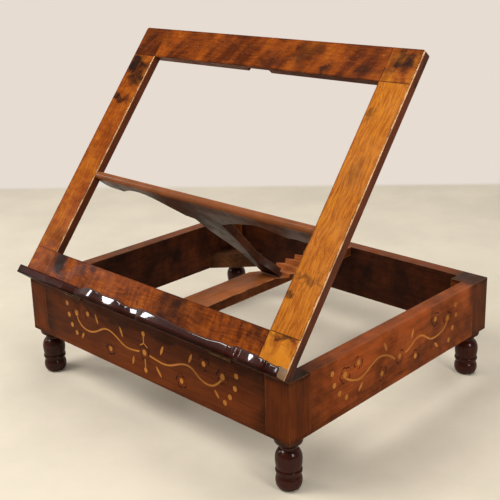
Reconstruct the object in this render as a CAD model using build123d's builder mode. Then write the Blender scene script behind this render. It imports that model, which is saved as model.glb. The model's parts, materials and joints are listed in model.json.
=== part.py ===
from build123d import *
from math import asin, atan2, cos, degrees, hypot, radians, sin
import os

os.makedirs("parts", exist_ok=True)

# A reading stand for a table top: a box-shaped base on turned feet, with a book frame hinged to
# its front edge. Lengths are in millimetres and angles in degrees. The origin lies on the floor
# under the middle of the base, with X to the right, Y to the back and Z up.

# General clearances
overrun = 2
glue_gap = 0.1
turn_gap = 0.3
moving_gap = 0.5

# Base rails and posts
base_width = 520
base_depth = 441
foot_height = 70
rail_height = 80.4
rail_thickness = 20
post_side = 38
post_round = 0.8
tenon_thickness = 8
tenon_length = 12
tenon_shoulder = 12
nail_hole_radius = 1
nail_hole_depth = 6
nail_hole_side_share = -0.523
nail_hole_up_share = 0.97

# Corner blocks
block_leg = 67
block_height = 25

# Turned feet
foot_radius = 18
dowel_radius = 5
dowel_length = 20

# Toothed bar
bar_width = 48
bar_thickness = 14
bar_let_in = 8
tooth_pitch = 22
tooth_lean = 1.5
tooth_end_margin = 20
run_in_lead = 20
run_in_past_heel = 17

# Inlay
inlay_thickness = 0.8
vine_width = 2.6
stem_width = 1.8
dot_length = 7.4
dot_width = 6.6
oval_length = 9
oval_width = 7.6
leaf_width = 4.2

# Reading frame
frame_overhang = 1
frame_length = 436
core_thickness = 11.6
veneer_thickness = 1
stile_width = 47.5
frame_rail_width = 49
frame_corner_round = 3
frame_tilt = 51.85

# Book ledge
ledge_height = 17.4
ledge_depth = 17
ledge_bevel_height = 4
ledge_bevel_depth = 2.5

# Prop board
prop_pivot_share = 0.414
heel_in_rail = 3.5
heel_sink = 4.1
prop_thickness = 12
heel_width = 37
heel_offset = 2
heel_rebate_length = 7.5
heel_thickness = 7
pivot_pin_radius = 2
pivot_pin_reach = 14
pivot_pin_clearance = 0.05
notch_lip = 5
notch_mouth = 43
notch_floor = 39
notch_depth = 8

# Hinges
hinge_place_share = 0.577
hinge_length = 38
barrel_radius = 2.4
hinge_pin_radius = 1
hinge_pin_clearance = 0.05
knuckle_count = 5
leaf_across = 14
leaf_thickness = 1.2
leaf_let_in = 1
leaf_spacing = 0.4
screw_head_radius = 2
screw_shank_radius = 1
screw_length = 9
screw_spacing = 13
screw_line = 9
screw_slot_width = 0.6
screw_slot_depth = 0.5
screw_slot_turn = 35

# Places that follow from the sizes
base_top = foot_height + rail_height
frame_width = base_width + 2 * frame_overhang
half_width = base_width / 2
half_depth = base_depth / 2
rail_middle_x = half_width - rail_thickness / 2
rail_middle_y = half_depth - rail_thickness / 2
post_middle_x = half_width - post_side / 2
post_middle_y = half_depth - post_side / 2
post_reach = post_side - rail_thickness
tenon_bottom = foot_height + tenon_shoulder
tenon_height = rail_height - 2 * tenon_shoulder
leaf_offset = leaf_spacing / 2
frame_back = leaf_offset + leaf_thickness - leaf_let_in
hinge_y = -half_depth
hinge_z = base_top + leaf_thickness - leaf_let_in + leaf_offset
frame_core_front = frame_back + core_thickness
frame_front = frame_core_front + veneer_thickness
frame_middle = (frame_back + frame_front) / 2
opening_half_width = frame_width / 2 - stile_width
opening_top = frame_length - frame_rail_width
prop_half_width = opening_half_width - moving_gap
prop_pivot_up = prop_pivot_share * frame_length
prop_length = opening_top + heel_in_rail - prop_pivot_up
hinge_place = hinge_place_share * half_width
corners = {"front_left": (-1, -1), "front_right": (1, -1), "back_left": (-1, 1), "back_right": (1, 1)}


def along(angle, length):
    """Step of a length in the YZ plane, at an angle above the line to the back."""
    return Vector(0, length * cos(radians(angle)), length * sin(radians(angle)))


# Planes of the two boards: local X to the right, local Y along the board, Z out of its front
hinge_axis_place = Vector(0, hinge_y, hinge_z)
frame_plane = Plane(hinge_axis_place, x_dir=(1, 0, 0), z_dir=along(frame_tilt + 90, 1))
prop_pivot = hinge_axis_place + along(frame_tilt, prop_pivot_up) + along(frame_tilt + 90, frame_middle)
heel_slope = asin((prop_pivot.Z + heel_sink - base_top) / hypot(prop_length, prop_thickness / 2))
prop_angle = degrees(atan2(prop_thickness / 2, prop_length) - heel_slope)
prop_opening = frame_tilt - prop_angle
prop_plane = Plane(prop_pivot, x_dir=(1, 0, 0), z_dir=along(prop_angle + 90, 1))


def heel_place(fold_share):
    """Lower corner of the prop's heel when the frame is folded down by a share of its tilt."""
    frame_angle = frame_tilt * (1 - fold_share)
    board_angle = frame_angle - prop_opening * (1 - fold_share)
    pivot = along(frame_angle, prop_pivot_up) + along(frame_angle + 90, frame_middle)
    heel = along(board_angle, prop_length) + along(board_angle - 90, prop_thickness / 2)
    return hinge_axis_place + pivot + heel


fold_steps = 200
heel_path = [heel_place(step / fold_steps) for step in range(fold_steps + 1)]


def tooth_crest(y):
    """Height of a tooth at y, just under the path of the prop's heel."""
    heel = min(heel_path, key=lambda place: abs(place.Y - y))
    return min(base_top, heel.Z - turn_gap)


# Inlay patterns. Each place is a share of the rail's half length, from its middle,
# and of its height, from its lower edge.
front_pattern_shares = {
    "vines": [
        [
            (-0.558, 0.62), (-0.508, 0.46), (-0.465, 0.435), (-0.396, 0.485), (-0.3, 0.622),
            (-0.219, 0.56), (-0.142, 0.45), (-0.088, 0.448), (-0.03, 0.475),
        ],
        [
            (0.05, 0.473), (0.104, 0.448), (0.154, 0.435), (0.204, 0.46), (0.27, 0.547),
            (0.33, 0.597), (0.365, 0.583), (0.419, 0.473), (0.465, 0.423), (0.508, 0.435),
            (0.546, 0.51), (0.573, 0.6),
        ],
    ],
    "stems": [
        ((-0.021, 0.597), (0.008, 0.657)), ((0.037, 0.597), (0.008, 0.657)),
        ((0.008, 0.657), (0.008, 0.8)), ((0.013, 0.38), (0.013, 0.2)),
    ],
    "ovals": [(-0.562, 0.69), (0.01, 0.49), (0.581, 0.66)],
    "dots": [
        (-0.646, 0.81), (-0.635, 0.6), (-0.612, 0.42), (-0.573, 0.3), (-0.46, 0.76), (-0.273, 0.28),
        (0.673, 0.77), (0.662, 0.55), (0.627, 0.37), (0.592, 0.236), (0.454, 0.746), (0.288, 0.274),
        (0.008, 0.827), (0.013, 0.175),
    ],
    "leaves": [
        ((-0.53, 0.23), (-0.505, 0.36)), ((-0.392, 0.83), (-0.373, 0.64)),
        ((-0.185, 0.784), (-0.162, 0.6)), ((-0.077, 0.35), (-0.092, 0.17)),
        ((0.096, 0.336), (0.138, 0.162)), ((0.162, 0.76), (0.135, 0.57)),
        ((0.373, 0.833), (0.346, 0.65)), ((0.523, 0.386), (0.554, 0.26)),
    ],
}
side_pattern_shares = {
    "vines": [
        [
            (-0.526, 0.59), (-0.458, 0.485), (-0.404, 0.448), (-0.313, 0.522), (-0.222, 0.622),
            (-0.118, 0.56), (-0.054, 0.435),
        ],
        [
            (0.054, 0.448), (0.109, 0.497), (0.159, 0.572), (0.213, 0.594), (0.277, 0.51),
            (0.322, 0.434), (0.372, 0.41), (0.422, 0.423), (0.467, 0.46), (0.512, 0.58),
        ],
    ],
    "stems": [],
    "ovals": [(-0.531, 0.65), (0.517, 0.64)],
    "dots": [
        (-0.644, 0.784), (-0.626, 0.572), (-0.58, 0.386), (-0.517, 0.261), (-0.408, 0.734), (-0.181, 0.311),
        (0.608, 0.808), (0.617, 0.609), (0.58, 0.398), (0.54, 0.2), (0.376, 0.746), (0.163, 0.274),
        (-0.005, 0.435),
    ],
    "leaves": [
        ((-0.367, 0.36), (-0.408, 0.236)), ((-0.163, 0.833), (-0.136, 0.66)),
        ((0.136, 0.796), (0.118, 0.63)), ((0.372, 0.31), (0.418, 0.19)),
    ],
}


def inlay_place(shares, half_length):
    """Place of a share pair on a rail's face."""
    return (shares[0] * half_length, shares[1] * rail_height)


def inlay_dots(plane, half_length, pattern_shares):
    """Ovals and dots of one rail's inlay."""
    oval_places = [inlay_place(shares, half_length) for shares in pattern_shares["ovals"]]
    dot_places = [inlay_place(shares, half_length) for shares in pattern_shares["dots"]]
    with BuildPart() as dots:
        with BuildSketch(plane):
            with Locations(*oval_places):
                Ellipse(oval_width / 2, oval_length / 2)
            with Locations(*dot_places):
                Ellipse(dot_width / 2, dot_length / 2)
        extrude(amount=-inlay_thickness)
    return dots.part


def inlay_vine(plane, half_length, pattern_shares, dots):
    """Waving vine of one rail's inlay, with its straight stems."""
    with BuildPart() as vine:
        for branch_shares in pattern_shares["vines"]:
            with BuildSketch(plane):
                with BuildLine():
                    Spline(*[inlay_place(shares, half_length) for shares in branch_shares])
                trace(line_width=vine_width)
            extrude(amount=-inlay_thickness)
        for ends_shares in pattern_shares["stems"]:
            with BuildSketch(plane):
                with BuildLine():
                    Line(*[inlay_place(shares, half_length) for shares in ends_shares])
                trace(line_width=stem_width)
            extrude(amount=-inlay_thickness)
        add(dots, mode=Mode.SUBTRACT)
    return vine.part


def inlay_leaves(plane, half_length, pattern_shares, vine, dots):
    """Pointed leaves of one rail's inlay, each between two arcs from tip to stalk."""
    with BuildPart() as leaves:
        for ends_shares in pattern_shares["leaves"]:
            tip, stalk = [Vector(*inlay_place(shares, half_length)) for shares in ends_shares]
            across = (stalk - tip).rotate(Axis.Z, 90).normalized() * leaf_width / 2
            middle = (tip + stalk) / 2
            with BuildSketch(plane):
                with BuildLine():
                    ThreePointArc(tip, middle + across, stalk)
                    ThreePointArc(stalk, middle - across, tip)
                make_face()
            extrude(amount=-inlay_thickness)
        add(vine, mode=Mode.SUBTRACT)
        add(dots, mode=Mode.SUBTRACT)
    return leaves.part


def make_inlay(plane, half_length, pattern_shares):
    """The three kinds of inlay pieces of one rail."""
    dots = inlay_dots(plane, half_length, pattern_shares)
    vine = inlay_vine(plane, half_length, pattern_shares, dots)
    leaves = inlay_leaves(plane, half_length, pattern_shares, vine, dots)
    return {"dots": dots, "vine": vine, "leaves": leaves}


front_face = Plane((0, -half_depth, foot_height), x_dir=(1, 0, 0), z_dir=(0, -1, 0))
right_face = Plane((half_width, 0, foot_height), x_dir=(0, 1, 0), z_dir=(1, 0, 0))
front_inlay = make_inlay(front_face, half_width, front_pattern_shares)
right_inlay = make_inlay(right_face, half_depth, side_pattern_shares)

for kind, piece in front_inlay.items():
    with BuildPart() as front_pieces:
        add(piece)
    front_pieces.part.label = f"front_inlay_{kind}"
    export_step(front_pieces.part, f"parts/front_inlay_{kind}.step")

for kind, piece in right_inlay.items():
    with BuildPart() as right_pieces:
        add(piece)
    right_pieces.part.label = f"right_inlay_{kind}"
    export_step(right_pieces.part, f"parts/right_inlay_{kind}.step")

    with BuildPart() as left_pieces:
        mirror(piece, about=Plane.YZ)
    left_pieces.part.label = f"left_inlay_{kind}"
    export_step(left_pieces.part, f"parts/left_inlay_{kind}.step")


# Hinges. Each leaf has a plane on its visible face, with its origin beside the barrel's middle,
# local X along the barrel and local Y across the leaf.
knuckle_pitch = hinge_length / knuckle_count
screw_places = [(step * screw_spacing, screw_line) for step in (-1, 0, 1)]


def base_leaf_plane(x):
    """Upper face of the leaf on the base's front rail."""
    return Plane(hinge_axis_place + Vector(x, 0, -leaf_offset), x_dir=(1, 0, 0), z_dir=(0, 0, 1))


def frame_leaf_plane(x):
    """Rear face of the leaf on the frame's back."""
    origin = hinge_axis_place + Vector(x, 0, 0) + along(frame_tilt + 90, leaf_offset)
    return Plane(origin, x_dir=(-1, 0, 0), z_dir=along(frame_tilt - 90, 1))


def make_screws(leaf_plane):
    """Three countersunk screws of one leaf."""
    with BuildPart(leaf_plane) as screws:
        with Locations(*screw_places):
            Cone(
                bottom_radius=screw_shank_radius,
                top_radius=screw_head_radius,
                height=screw_head_radius - screw_shank_radius,
                align=(Align.CENTER, Align.CENTER, Align.MAX),
            )
            Cylinder(screw_shank_radius, screw_length, align=(Align.CENTER, Align.CENTER, Align.MAX))
    return screws.part


def cut_slots(screws, leaf_plane):
    """The same screws with a slot across each head."""
    with BuildPart() as slotted:
        add(screws)
        with BuildSketch(leaf_plane):
            with Locations(*screw_places):
                Rectangle(2 * screw_head_radius + overrun, screw_slot_width, rotation=screw_slot_turn)
        extrude(amount=-screw_slot_depth, mode=Mode.SUBTRACT)
    return slotted.part


def cylinder_on(y, z, start, length, radius):
    """A cylinder along X round a place in the YZ plane."""
    with BuildPart() as cylinder:
        with BuildSketch(Plane.YZ.offset(start)):
            with Locations((y, z)):
                Circle(radius)
        extrude(amount=length)
    return cylinder.part


def barrel_piece(x, start, length, radius):
    """A cylinder round the hinge axis, from a start beside the hinge's middle."""
    return cylinder_on(hinge_y, hinge_z, x + start, length, radius)


def make_leaf(leaf_plane, x, own_first, other_first, screws):
    """One hinge leaf: a plate with its own knuckles, cut clear of the other leaf's knuckles."""
    own_starts, other_starts = [
        [index * knuckle_pitch - hinge_length / 2 for index in range(first, knuckle_count, 2)]
        for first in (own_first, other_first)
    ]
    with BuildPart() as leaf:
        with BuildSketch(leaf_plane):
            with Locations((0, leaf_across / 2)):
                Rectangle(hinge_length - turn_gap, leaf_across)
        extrude(amount=-leaf_thickness)
        for start in other_starts:
            span = knuckle_pitch + turn_gap
            cut = barrel_piece(x, start - turn_gap / 2, span, barrel_radius + turn_gap)
            add(cut, mode=Mode.SUBTRACT)
        for start in own_starts:
            add(barrel_piece(x, start + turn_gap / 2, knuckle_pitch - turn_gap, barrel_radius))
        bore_radius = hinge_pin_radius + hinge_pin_clearance
        add(barrel_piece(x, -hinge_length / 2, hinge_length, bore_radius), mode=Mode.SUBTRACT)
        add(screws, mode=Mode.SUBTRACT)
    return leaf


def leaf_bed(leaf_plane):
    """Shallow recess that one leaf lies in."""
    with BuildPart() as bed:
        with BuildSketch(leaf_plane):
            with Locations((0, leaf_across / 2)):
                Rectangle(hinge_length - turn_gap, leaf_across)
        extrude(amount=-leaf_thickness)
    return bed.part


hinge_sides = {"left": -hinge_place, "right": hinge_place}
rail_cuts = []
frame_cuts = []
base_screws = []
frame_screws = []
for side, x in hinge_sides.items():
    screws = make_screws(base_leaf_plane(x))
    base_leaf = make_leaf(base_leaf_plane(x), x, 0, 1, screws)
    base_leaf.part.label = f"{side}_base_hinge_leaf"
    export_step(base_leaf.part, f"parts/{side}_base_hinge_leaf.step")
    base_screws.append(cut_slots(screws, base_leaf_plane(x)))
    clearing_start = -hinge_length / 2 - turn_gap
    clearing = barrel_piece(x, clearing_start, hinge_length + 2 * turn_gap, barrel_radius + turn_gap)
    rail_cuts += [leaf_bed(base_leaf_plane(x)), clearing, screws]

    screws = make_screws(frame_leaf_plane(x))
    frame_leaf = make_leaf(frame_leaf_plane(x), x, 1, 0, screws)
    frame_leaf.part.label = f"{side}_frame_hinge_leaf"
    export_step(frame_leaf.part, f"parts/{side}_frame_hinge_leaf.step")
    frame_screws.append(cut_slots(screws, frame_leaf_plane(x)))
    frame_cuts += [leaf_bed(frame_leaf_plane(x)), clearing, screws]

    with BuildPart() as hinge_pin:
        add(barrel_piece(x, turn_gap / 2 - hinge_length / 2, hinge_length - turn_gap, hinge_pin_radius))
    hinge_pin.part.label = f"{side}_hinge_pin"
    export_step(hinge_pin.part, f"parts/{side}_hinge_pin.step")

with BuildPart() as base_hinge_screws:
    add(base_screws)
base_hinge_screws.part.label = "base_hinge_screws"
export_step(base_hinge_screws.part, "parts/base_hinge_screws.step")

with BuildPart() as frame_hinge_screws:
    add(frame_screws)
frame_hinge_screws.part.label = "frame_hinge_screws"
export_step(frame_hinge_screws.part, "parts/frame_hinge_screws.step")


# Toothed bar, let into the front and back rails, its top level with theirs
bar_end = half_depth - rail_thickness + bar_let_in
bar_bottom = base_top - bar_thickness
heel_at_rest = heel_path[0]
run_in_start = heel_at_rest.Y - run_in_lead
run_in_end = heel_at_rest.Y + run_in_past_heel
run_in_slope = (base_top - heel_at_rest.Z + turn_gap) / run_in_lead
tooth_floor = base_top - run_in_slope * (run_in_end - run_in_start)
tooth_count = int((bar_end - tooth_end_margin - run_in_end) / tooth_pitch)

with BuildPart() as toothed_bar:
    with BuildSketch(Plane.YZ.offset(-bar_width / 2)):
        with BuildLine():
            outline = [(bar_end, base_top), (bar_end, bar_bottom), (-bar_end, bar_bottom)]
            outline += [(-bar_end, base_top), (run_in_start, base_top)]
            for index in range(tooth_count):
                floor_y = run_in_end + index * tooth_pitch
                crest_y = floor_y + tooth_lean
                outline += [(floor_y, tooth_floor), (crest_y, tooth_crest(crest_y))]
            outline += [(crest_y + tooth_pitch - tooth_lean, tooth_floor)]
            outline += [(crest_y + tooth_pitch, base_top)]
            Polyline(*outline, close=True)
        make_face()
    extrude(amount=bar_width)
toothed_bar.part.label = "toothed_bar"
export_step(toothed_bar.part, "parts/toothed_bar.step")

with BuildPart() as bar_housing:
    with BuildSketch(Plane.XY.offset(bar_bottom)):
        Rectangle(bar_width, 2 * (bar_end + glue_gap))
    extrude(amount=bar_thickness + overrun)


# Base rails, with tenons that enter the posts
def make_rail(along_x, side):
    """One rail between two posts, with a tenon at each end."""
    if along_x:
        place = (0, side * rail_middle_y)
        length = base_width - 2 * post_side
    else:
        place = (side * rail_middle_x, 0)
        length = base_depth - 2 * post_side
    turn = 0 if along_x else 90
    with BuildPart() as rail:
        with BuildSketch(Plane.XY.offset(foot_height)):
            with Locations(place):
                Rectangle(length, rail_thickness, rotation=turn)
        extrude(amount=rail_height)
        with BuildSketch(Plane.XY.offset(tenon_bottom)):
            with Locations(place):
                Rectangle(length + 2 * tenon_length, tenon_thickness, rotation=turn)
        extrude(amount=tenon_height)
    return rail.part


with BuildPart() as front_rail:
    add(make_rail(True, -1))
    add(bar_housing.part, mode=Mode.SUBTRACT)
    add(rail_cuts, mode=Mode.SUBTRACT)
    add(list(front_inlay.values()), mode=Mode.SUBTRACT)
    with BuildSketch(front_face):
        with Locations((nail_hole_side_share * half_width, nail_hole_up_share * rail_height)):
            Circle(nail_hole_radius)
    extrude(amount=-nail_hole_depth, mode=Mode.SUBTRACT)
front_rail.part.label = "front_rail"
export_step(front_rail.part, "parts/front_rail.step")

with BuildPart() as back_rail:
    add(make_rail(True, 1))
    add(bar_housing.part, mode=Mode.SUBTRACT)
back_rail.part.label = "back_rail"
export_step(back_rail.part, "parts/back_rail.step")

with BuildPart() as right_rail:
    add(make_rail(False, 1))
    add(list(right_inlay.values()), mode=Mode.SUBTRACT)
right_rail.part.label = "right_rail"
export_step(right_rail.part, "parts/right_rail.step")

with BuildPart() as left_rail:
    mirror(right_rail.part, about=Plane.YZ)
left_rail.part.label = "left_rail"
export_step(left_rail.part, "parts/left_rail.step")


# Corner posts, blocks and feet
foot_round_shares = [(0.528, 0), (0.928, 0.157), (0.806, 0.257)]
foot_ring_shares = [(0.928, 0.343), (0.928, 0.36), (0.85, 0.372), (0.93, 0.52)]
foot_bulb_shares = [(0.93, 0.52), (0.9, 0.66), (0.6, 0.765)]
foot_cove_shares = [(0.6, 0.765), (0.69, 0.85), (0.883, 0.891)]
foot_collar_shares = [(0.883, 0.891), (0.96, 0.903), (0.99, 0.937)]


def foot_points(shares):
    """Places of a foot's outline, from shares of its radius and height."""
    return [(out_share * foot_radius, up_share * foot_height) for out_share, up_share in shares]


def make_foot(x, y):
    """One turned foot with the dowel that enters its post."""
    with BuildPart() as foot:
        with BuildSketch(Plane((x, y, 0), x_dir=(1, 0, 0), z_dir=(0, -1, 0))):
            with BuildLine():
                Line((0, 0), foot_points(foot_round_shares)[0])
                ThreePointArc(*foot_points(foot_round_shares))
                Polyline(*foot_points(foot_round_shares[-1:] + foot_ring_shares))
                Spline(*foot_points(foot_bulb_shares))
                ThreePointArc(*foot_points(foot_cove_shares))
                ThreePointArc(*foot_points(foot_collar_shares))
                Line(foot_points(foot_collar_shares)[-1], (foot_radius, foot_height))
                Line((foot_radius, foot_height), (dowel_radius, foot_height))
                dowel_top = foot_height + dowel_length
                Line((dowel_radius, foot_height), (dowel_radius, dowel_top))
                Line((dowel_radius, dowel_top), (0, dowel_top))
                Line((0, dowel_top), (0, 0))
            make_face()
        revolve(axis=Axis((x, y, 0), (0, 0, 1)))
    return foot


def make_post(x, y, side_x, side_y):
    """One square post, mortised for two rails and bored for its foot's dowel."""
    mortise_depth = tenon_length + glue_gap
    mortise_width = tenon_thickness + 2 * glue_gap
    mortise_step = (post_side - mortise_depth) / 2
    with BuildPart() as post:
        with BuildSketch(Plane.XY.offset(foot_height)):
            with Locations((x, y)):
                Rectangle(post_side, post_side)
        extrude(amount=rail_height)
        outer_edge = post.edges().filter_by(Axis.Z).sort_by_distance((0, 0, 0))[-1]
        fillet(outer_edge, post_round)
        with BuildSketch(Plane.XY.offset(tenon_bottom - glue_gap)):
            with Locations((x - side_x * mortise_step, side_y * rail_middle_y)):
                Rectangle(mortise_depth, mortise_width)
            with Locations((side_x * rail_middle_x, y - side_y * mortise_step)):
                Rectangle(mortise_width, mortise_depth)
        extrude(amount=tenon_height + 2 * glue_gap, mode=Mode.SUBTRACT)
        with BuildSketch(Plane.XY.offset(foot_height)):
            with Locations((x, y)):
                Circle(dowel_radius + glue_gap)
        extrude(amount=dowel_length + glue_gap, mode=Mode.SUBTRACT)
    return post


def make_block(side_x, side_y):
    """One corner block in the angle of two rails, cut round the post's inner corner."""
    corner_x = half_width - rail_thickness
    corner_y = half_depth - rail_thickness
    outline = [
        (corner_x - post_reach, corner_y),
        (corner_x - block_leg, corner_y),
        (corner_x, corner_y - block_leg),
        (corner_x, corner_y - post_reach),
        (corner_x - post_reach, corner_y - post_reach),
    ]
    with BuildPart() as block:
        with BuildSketch(Plane.XY.offset(foot_height)):
            with BuildLine():
                Polyline(*[(side_x * x, side_y * y) for x, y in outline], close=True)
            make_face()
        extrude(amount=block_height)
    return block


for corner, (side_x, side_y) in corners.items():
    x, y = side_x * post_middle_x, side_y * post_middle_y
    post = make_post(x, y, side_x, side_y)
    post.part.label = f"{corner}_post"
    export_step(post.part, f"parts/{corner}_post.step")
    foot = make_foot(x, y)
    foot.part.label = f"{corner}_foot"
    export_step(foot.part, f"parts/{corner}_foot.step")
    block = make_block(side_x, side_y)
    block.part.label = f"{corner}_block"
    export_step(block.part, f"parts/{corner}_block.step")


# Reading frame, half-lapped at its corners: the stiles keep their front half, the rails their back
frame_half_width = frame_width / 2
stile_middle = frame_half_width - stile_width / 2
lap = core_thickness / 2
rail_spans = {"bottom": 0, "top": opening_top}


def frame_slab(middle, size, low, high):
    """A flat piece of the frame between two heights out of its back."""
    with BuildPart() as slab:
        with BuildSketch(frame_plane.offset(low)):
            with Locations(middle):
                Rectangle(*size)
        extrude(amount=high - low)
    return slab.part


with BuildPart() as frame_outline:
    with BuildSketch(frame_plane.offset(frame_back)):
        RectangleRounded(frame_width, 2 * frame_length, frame_corner_round)
    extrude(amount=frame_front - frame_back)

lap_middles = [(0, start + frame_rail_width / 2) for start in rail_spans.values()]
for side, sign in {"left": -1, "right": 1}.items():
    pin_start = sign * opening_half_width - pivot_pin_reach
    with BuildPart() as pivot_pin:
        add(cylinder_on(prop_pivot.Y, prop_pivot.Z, pin_start, 2 * pivot_pin_reach, pivot_pin_radius))
    pivot_pin.part.label = f"{side}_prop_pivot_pin"
    export_step(pivot_pin.part, f"parts/{side}_prop_pivot_pin.step")

    with BuildPart() as stile:
        size = (stile_width, frame_length)
        place = (sign * stile_middle, frame_length / 2)
        add(frame_slab(place, size, frame_back, frame_core_front))
        for middle in lap_middles:
            lap_size = (frame_width, frame_rail_width)
            cut = frame_slab(middle, lap_size, frame_back, frame_back + lap)
            add(cut, mode=Mode.SUBTRACT)
        add(pivot_pin.part, mode=Mode.SUBTRACT)
        add(frame_outline.part, mode=Mode.INTERSECT)
    stile.part.label = f"{side}_stile"
    export_step(stile.part, f"parts/{side}_stile.step")

    veneer_place = (sign * stile_middle, (frame_rail_width + opening_top) / 2)
    veneer_size = (stile_width, opening_top - frame_rail_width)
    with BuildPart() as stile_veneer:
        add(frame_slab(veneer_place, veneer_size, frame_core_front, frame_front))
    stile_veneer.part.label = f"{side}_stile_veneer"
    export_step(stile_veneer.part, f"parts/{side}_stile_veneer.step")

    for end, start in rail_spans.items():
        square_place = (sign * stile_middle, start + frame_rail_width / 2)
        square_size = (stile_width, frame_rail_width)
        with BuildPart() as corner_veneer:
            add(frame_slab(square_place, square_size, frame_core_front, frame_front))
            add(frame_outline.part, mode=Mode.INTERSECT)
        corner_veneer.part.label = f"{end}_{side}_corner_veneer"
        export_step(corner_veneer.part, f"parts/{end}_{side}_corner_veneer.step")

notch_floor_up = opening_top + notch_depth
with BuildPart() as heel_notch:
    with BuildSketch(frame_plane.offset(frame_back)):
        with BuildLine():
            Polyline(
                (heel_offset - notch_mouth / 2, opening_top - overrun),
                (heel_offset - notch_mouth / 2, opening_top),
                (heel_offset - notch_floor / 2, notch_floor_up),
                (heel_offset + notch_floor / 2, notch_floor_up),
                (heel_offset + notch_mouth / 2, opening_top),
                (heel_offset + notch_mouth / 2, opening_top - overrun),
                close=True,
            )
        make_face()
    extrude(amount=frame_front - notch_lip - frame_back)

for end, start in rail_spans.items():
    middle_up = start + frame_rail_width / 2
    with BuildPart() as frame_rail:
        rail_size = (frame_width, frame_rail_width)
        add(frame_slab((0, middle_up), rail_size, frame_back, frame_core_front))
        for sign in (-1, 1):
            place = (sign * stile_middle, middle_up)
            lap_size = (stile_width, frame_rail_width)
            cut = frame_slab(place, lap_size, frame_back + lap, frame_core_front)
            add(cut, mode=Mode.SUBTRACT)
        add(frame_outline.part, mode=Mode.INTERSECT)
        if end == "top":
            add(heel_notch.part, mode=Mode.SUBTRACT)
        else:
            add(frame_cuts, mode=Mode.SUBTRACT)
    frame_rail.part.label = f"{end}_rail"
    export_step(frame_rail.part, f"parts/{end}_rail.step")

    with BuildPart() as rail_veneer:
        veneer_size = (2 * opening_half_width, frame_rail_width)
        add(frame_slab((0, middle_up), veneer_size, frame_core_front, frame_front))
    rail_veneer.part.label = f"{end}_rail_veneer"
    export_step(rail_veneer.part, f"parts/{end}_rail_veneer.step")


# Book ledge: its outline seen from above the frame's foot, as shares of half the frame's width
# and of the ledge's depth
left_tab_shares = [(-1, 0.82), (-0.575, 0.82), (-0.49, 0.47), (-0.406, 0.59), (-0.402, 0.88)]
left_bow_shares = [(-0.402, 0.88), (-0.32, 0.98), (-0.24, 0.88), (-0.15, 0.92), (-0.08, 0.76)]
hollow_shares = [(-0.08, 0.76), (-0.025, 0.6), (0.03, 0.65)]
middle_bow_shares = [(0.03, 0.65), (0.11, 0.93), (0.23, 1), (0.46, 0.94), (0.664, 0.7)]
gap_shares = [(0.664, 0.7), (0.678, 0.41), (0.705, 0.41), (0.751, 0.76)]
right_lobe_shares = [(0.751, 0.76), (0.83, 0.9), (0.904, 0.62)]
right_tail_shares = [(0.904, 0.62), (0.92, 0.47), (0.955, 0.47), (0.985, 0.9), (1, 0.9)]
bevel_from_share = -0.5
# The bevels on the gap's two sides may take this much of its floor before they meet
gap_bevel_share = 0.36
gap_floor = (gap_shares[2][0] - gap_shares[1][0]) * frame_half_width
ledge_bevel = min(ledge_bevel_depth, gap_bevel_share * gap_floor)

# Its upper edge seen from the front, as shares of half the frame's width and of the ledge's height:
# low along the plain tab, high over the bows, with a step at the gap
upper_edge_shares = [
    (-1, 0.72), (-0.6, 0.68), (-0.42, 0.72), (-0.412, 0.86), (-0.35, 0.95), (-0.3, 0.935),
    (-0.268, 0.85), (-0.13, 0.89), (-0.08, 0.72), (-0.02, 0.765), (0.036, 0.915), (0.066, 0.93),
    (0.28, 0.815), (0.355, 0.713), (0.49, 0.68), (0.55, 0.69), (0.62, 0.83), (0.675, 0.8),
    (0.69, 0.98), (0.75, 0.92), (0.84, 0.88), (0.935, 0.7), (1, 0.76),
]
ledge_top = hinge_axis_place + along(frame_tilt, ledge_height) + along(frame_tilt + 90, frame_front)
ledge_plane = Plane(ledge_top, x_dir=(1, 0, 0), z_dir=along(frame_tilt + 180, 1))


def ledge_points(shares):
    """Places of the ledge's outline."""
    return [(side_share * frame_half_width, out_share * ledge_depth) for side_share, out_share in shares]


ledge_face = Plane(
    hinge_axis_place + along(frame_tilt + 90, frame_front),
    x_dir=(1, 0, 0),
    z_dir=along(frame_tilt + 90, 1),
)


def is_shaped(place):
    """Whether a place on the ledge's foot lies on its shaped front, right of the plain tab."""
    out = ledge_plane.to_local_coords(place).Y
    shaped_from = bevel_from_share * frame_half_width
    return place.X > shaped_from and out > ledge_bevel


with BuildPart() as book_ledge:
    with BuildSketch(ledge_plane):
        with BuildLine():
            Line((-frame_half_width, 0), ledge_points(left_tab_shares)[0])
            Polyline(*ledge_points(left_tab_shares))
            Spline(*ledge_points(left_bow_shares))
            Spline(*ledge_points(hollow_shares))
            Spline(*ledge_points(middle_bow_shares))
            Polyline(*ledge_points(gap_shares))
            Spline(*ledge_points(right_lobe_shares))
            Polyline(*ledge_points(right_tail_shares))
            Line(ledge_points(right_tail_shares)[-1], (frame_half_width, 0))
            Line((frame_half_width, 0), (-frame_half_width, 0))
        make_face()
    extrude(amount=ledge_height)
    upper_edge = [(side_share * frame_half_width, up_share * ledge_height) for side_share, up_share in upper_edge_shares]
    with BuildSketch(ledge_face):
        Polygon(
            *upper_edge,
            (frame_half_width, 2 * ledge_height),
            (-frame_half_width, 2 * ledge_height),
            align=None,
        )
    extrude(amount=ledge_depth, mode=Mode.SUBTRACT)
    lower_face = book_ledge.faces().sort_by(Axis(ledge_top, ledge_plane.z_dir))[-1]
    lower_edges = lower_face.edges().filter_by(lambda edge: is_shaped(edge.center()))
    chamfer(lower_edges, ledge_bevel, ledge_bevel_height)
book_ledge.part.label = "book_ledge"
export_step(book_ledge.part, "parts/book_ledge.step")


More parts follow.
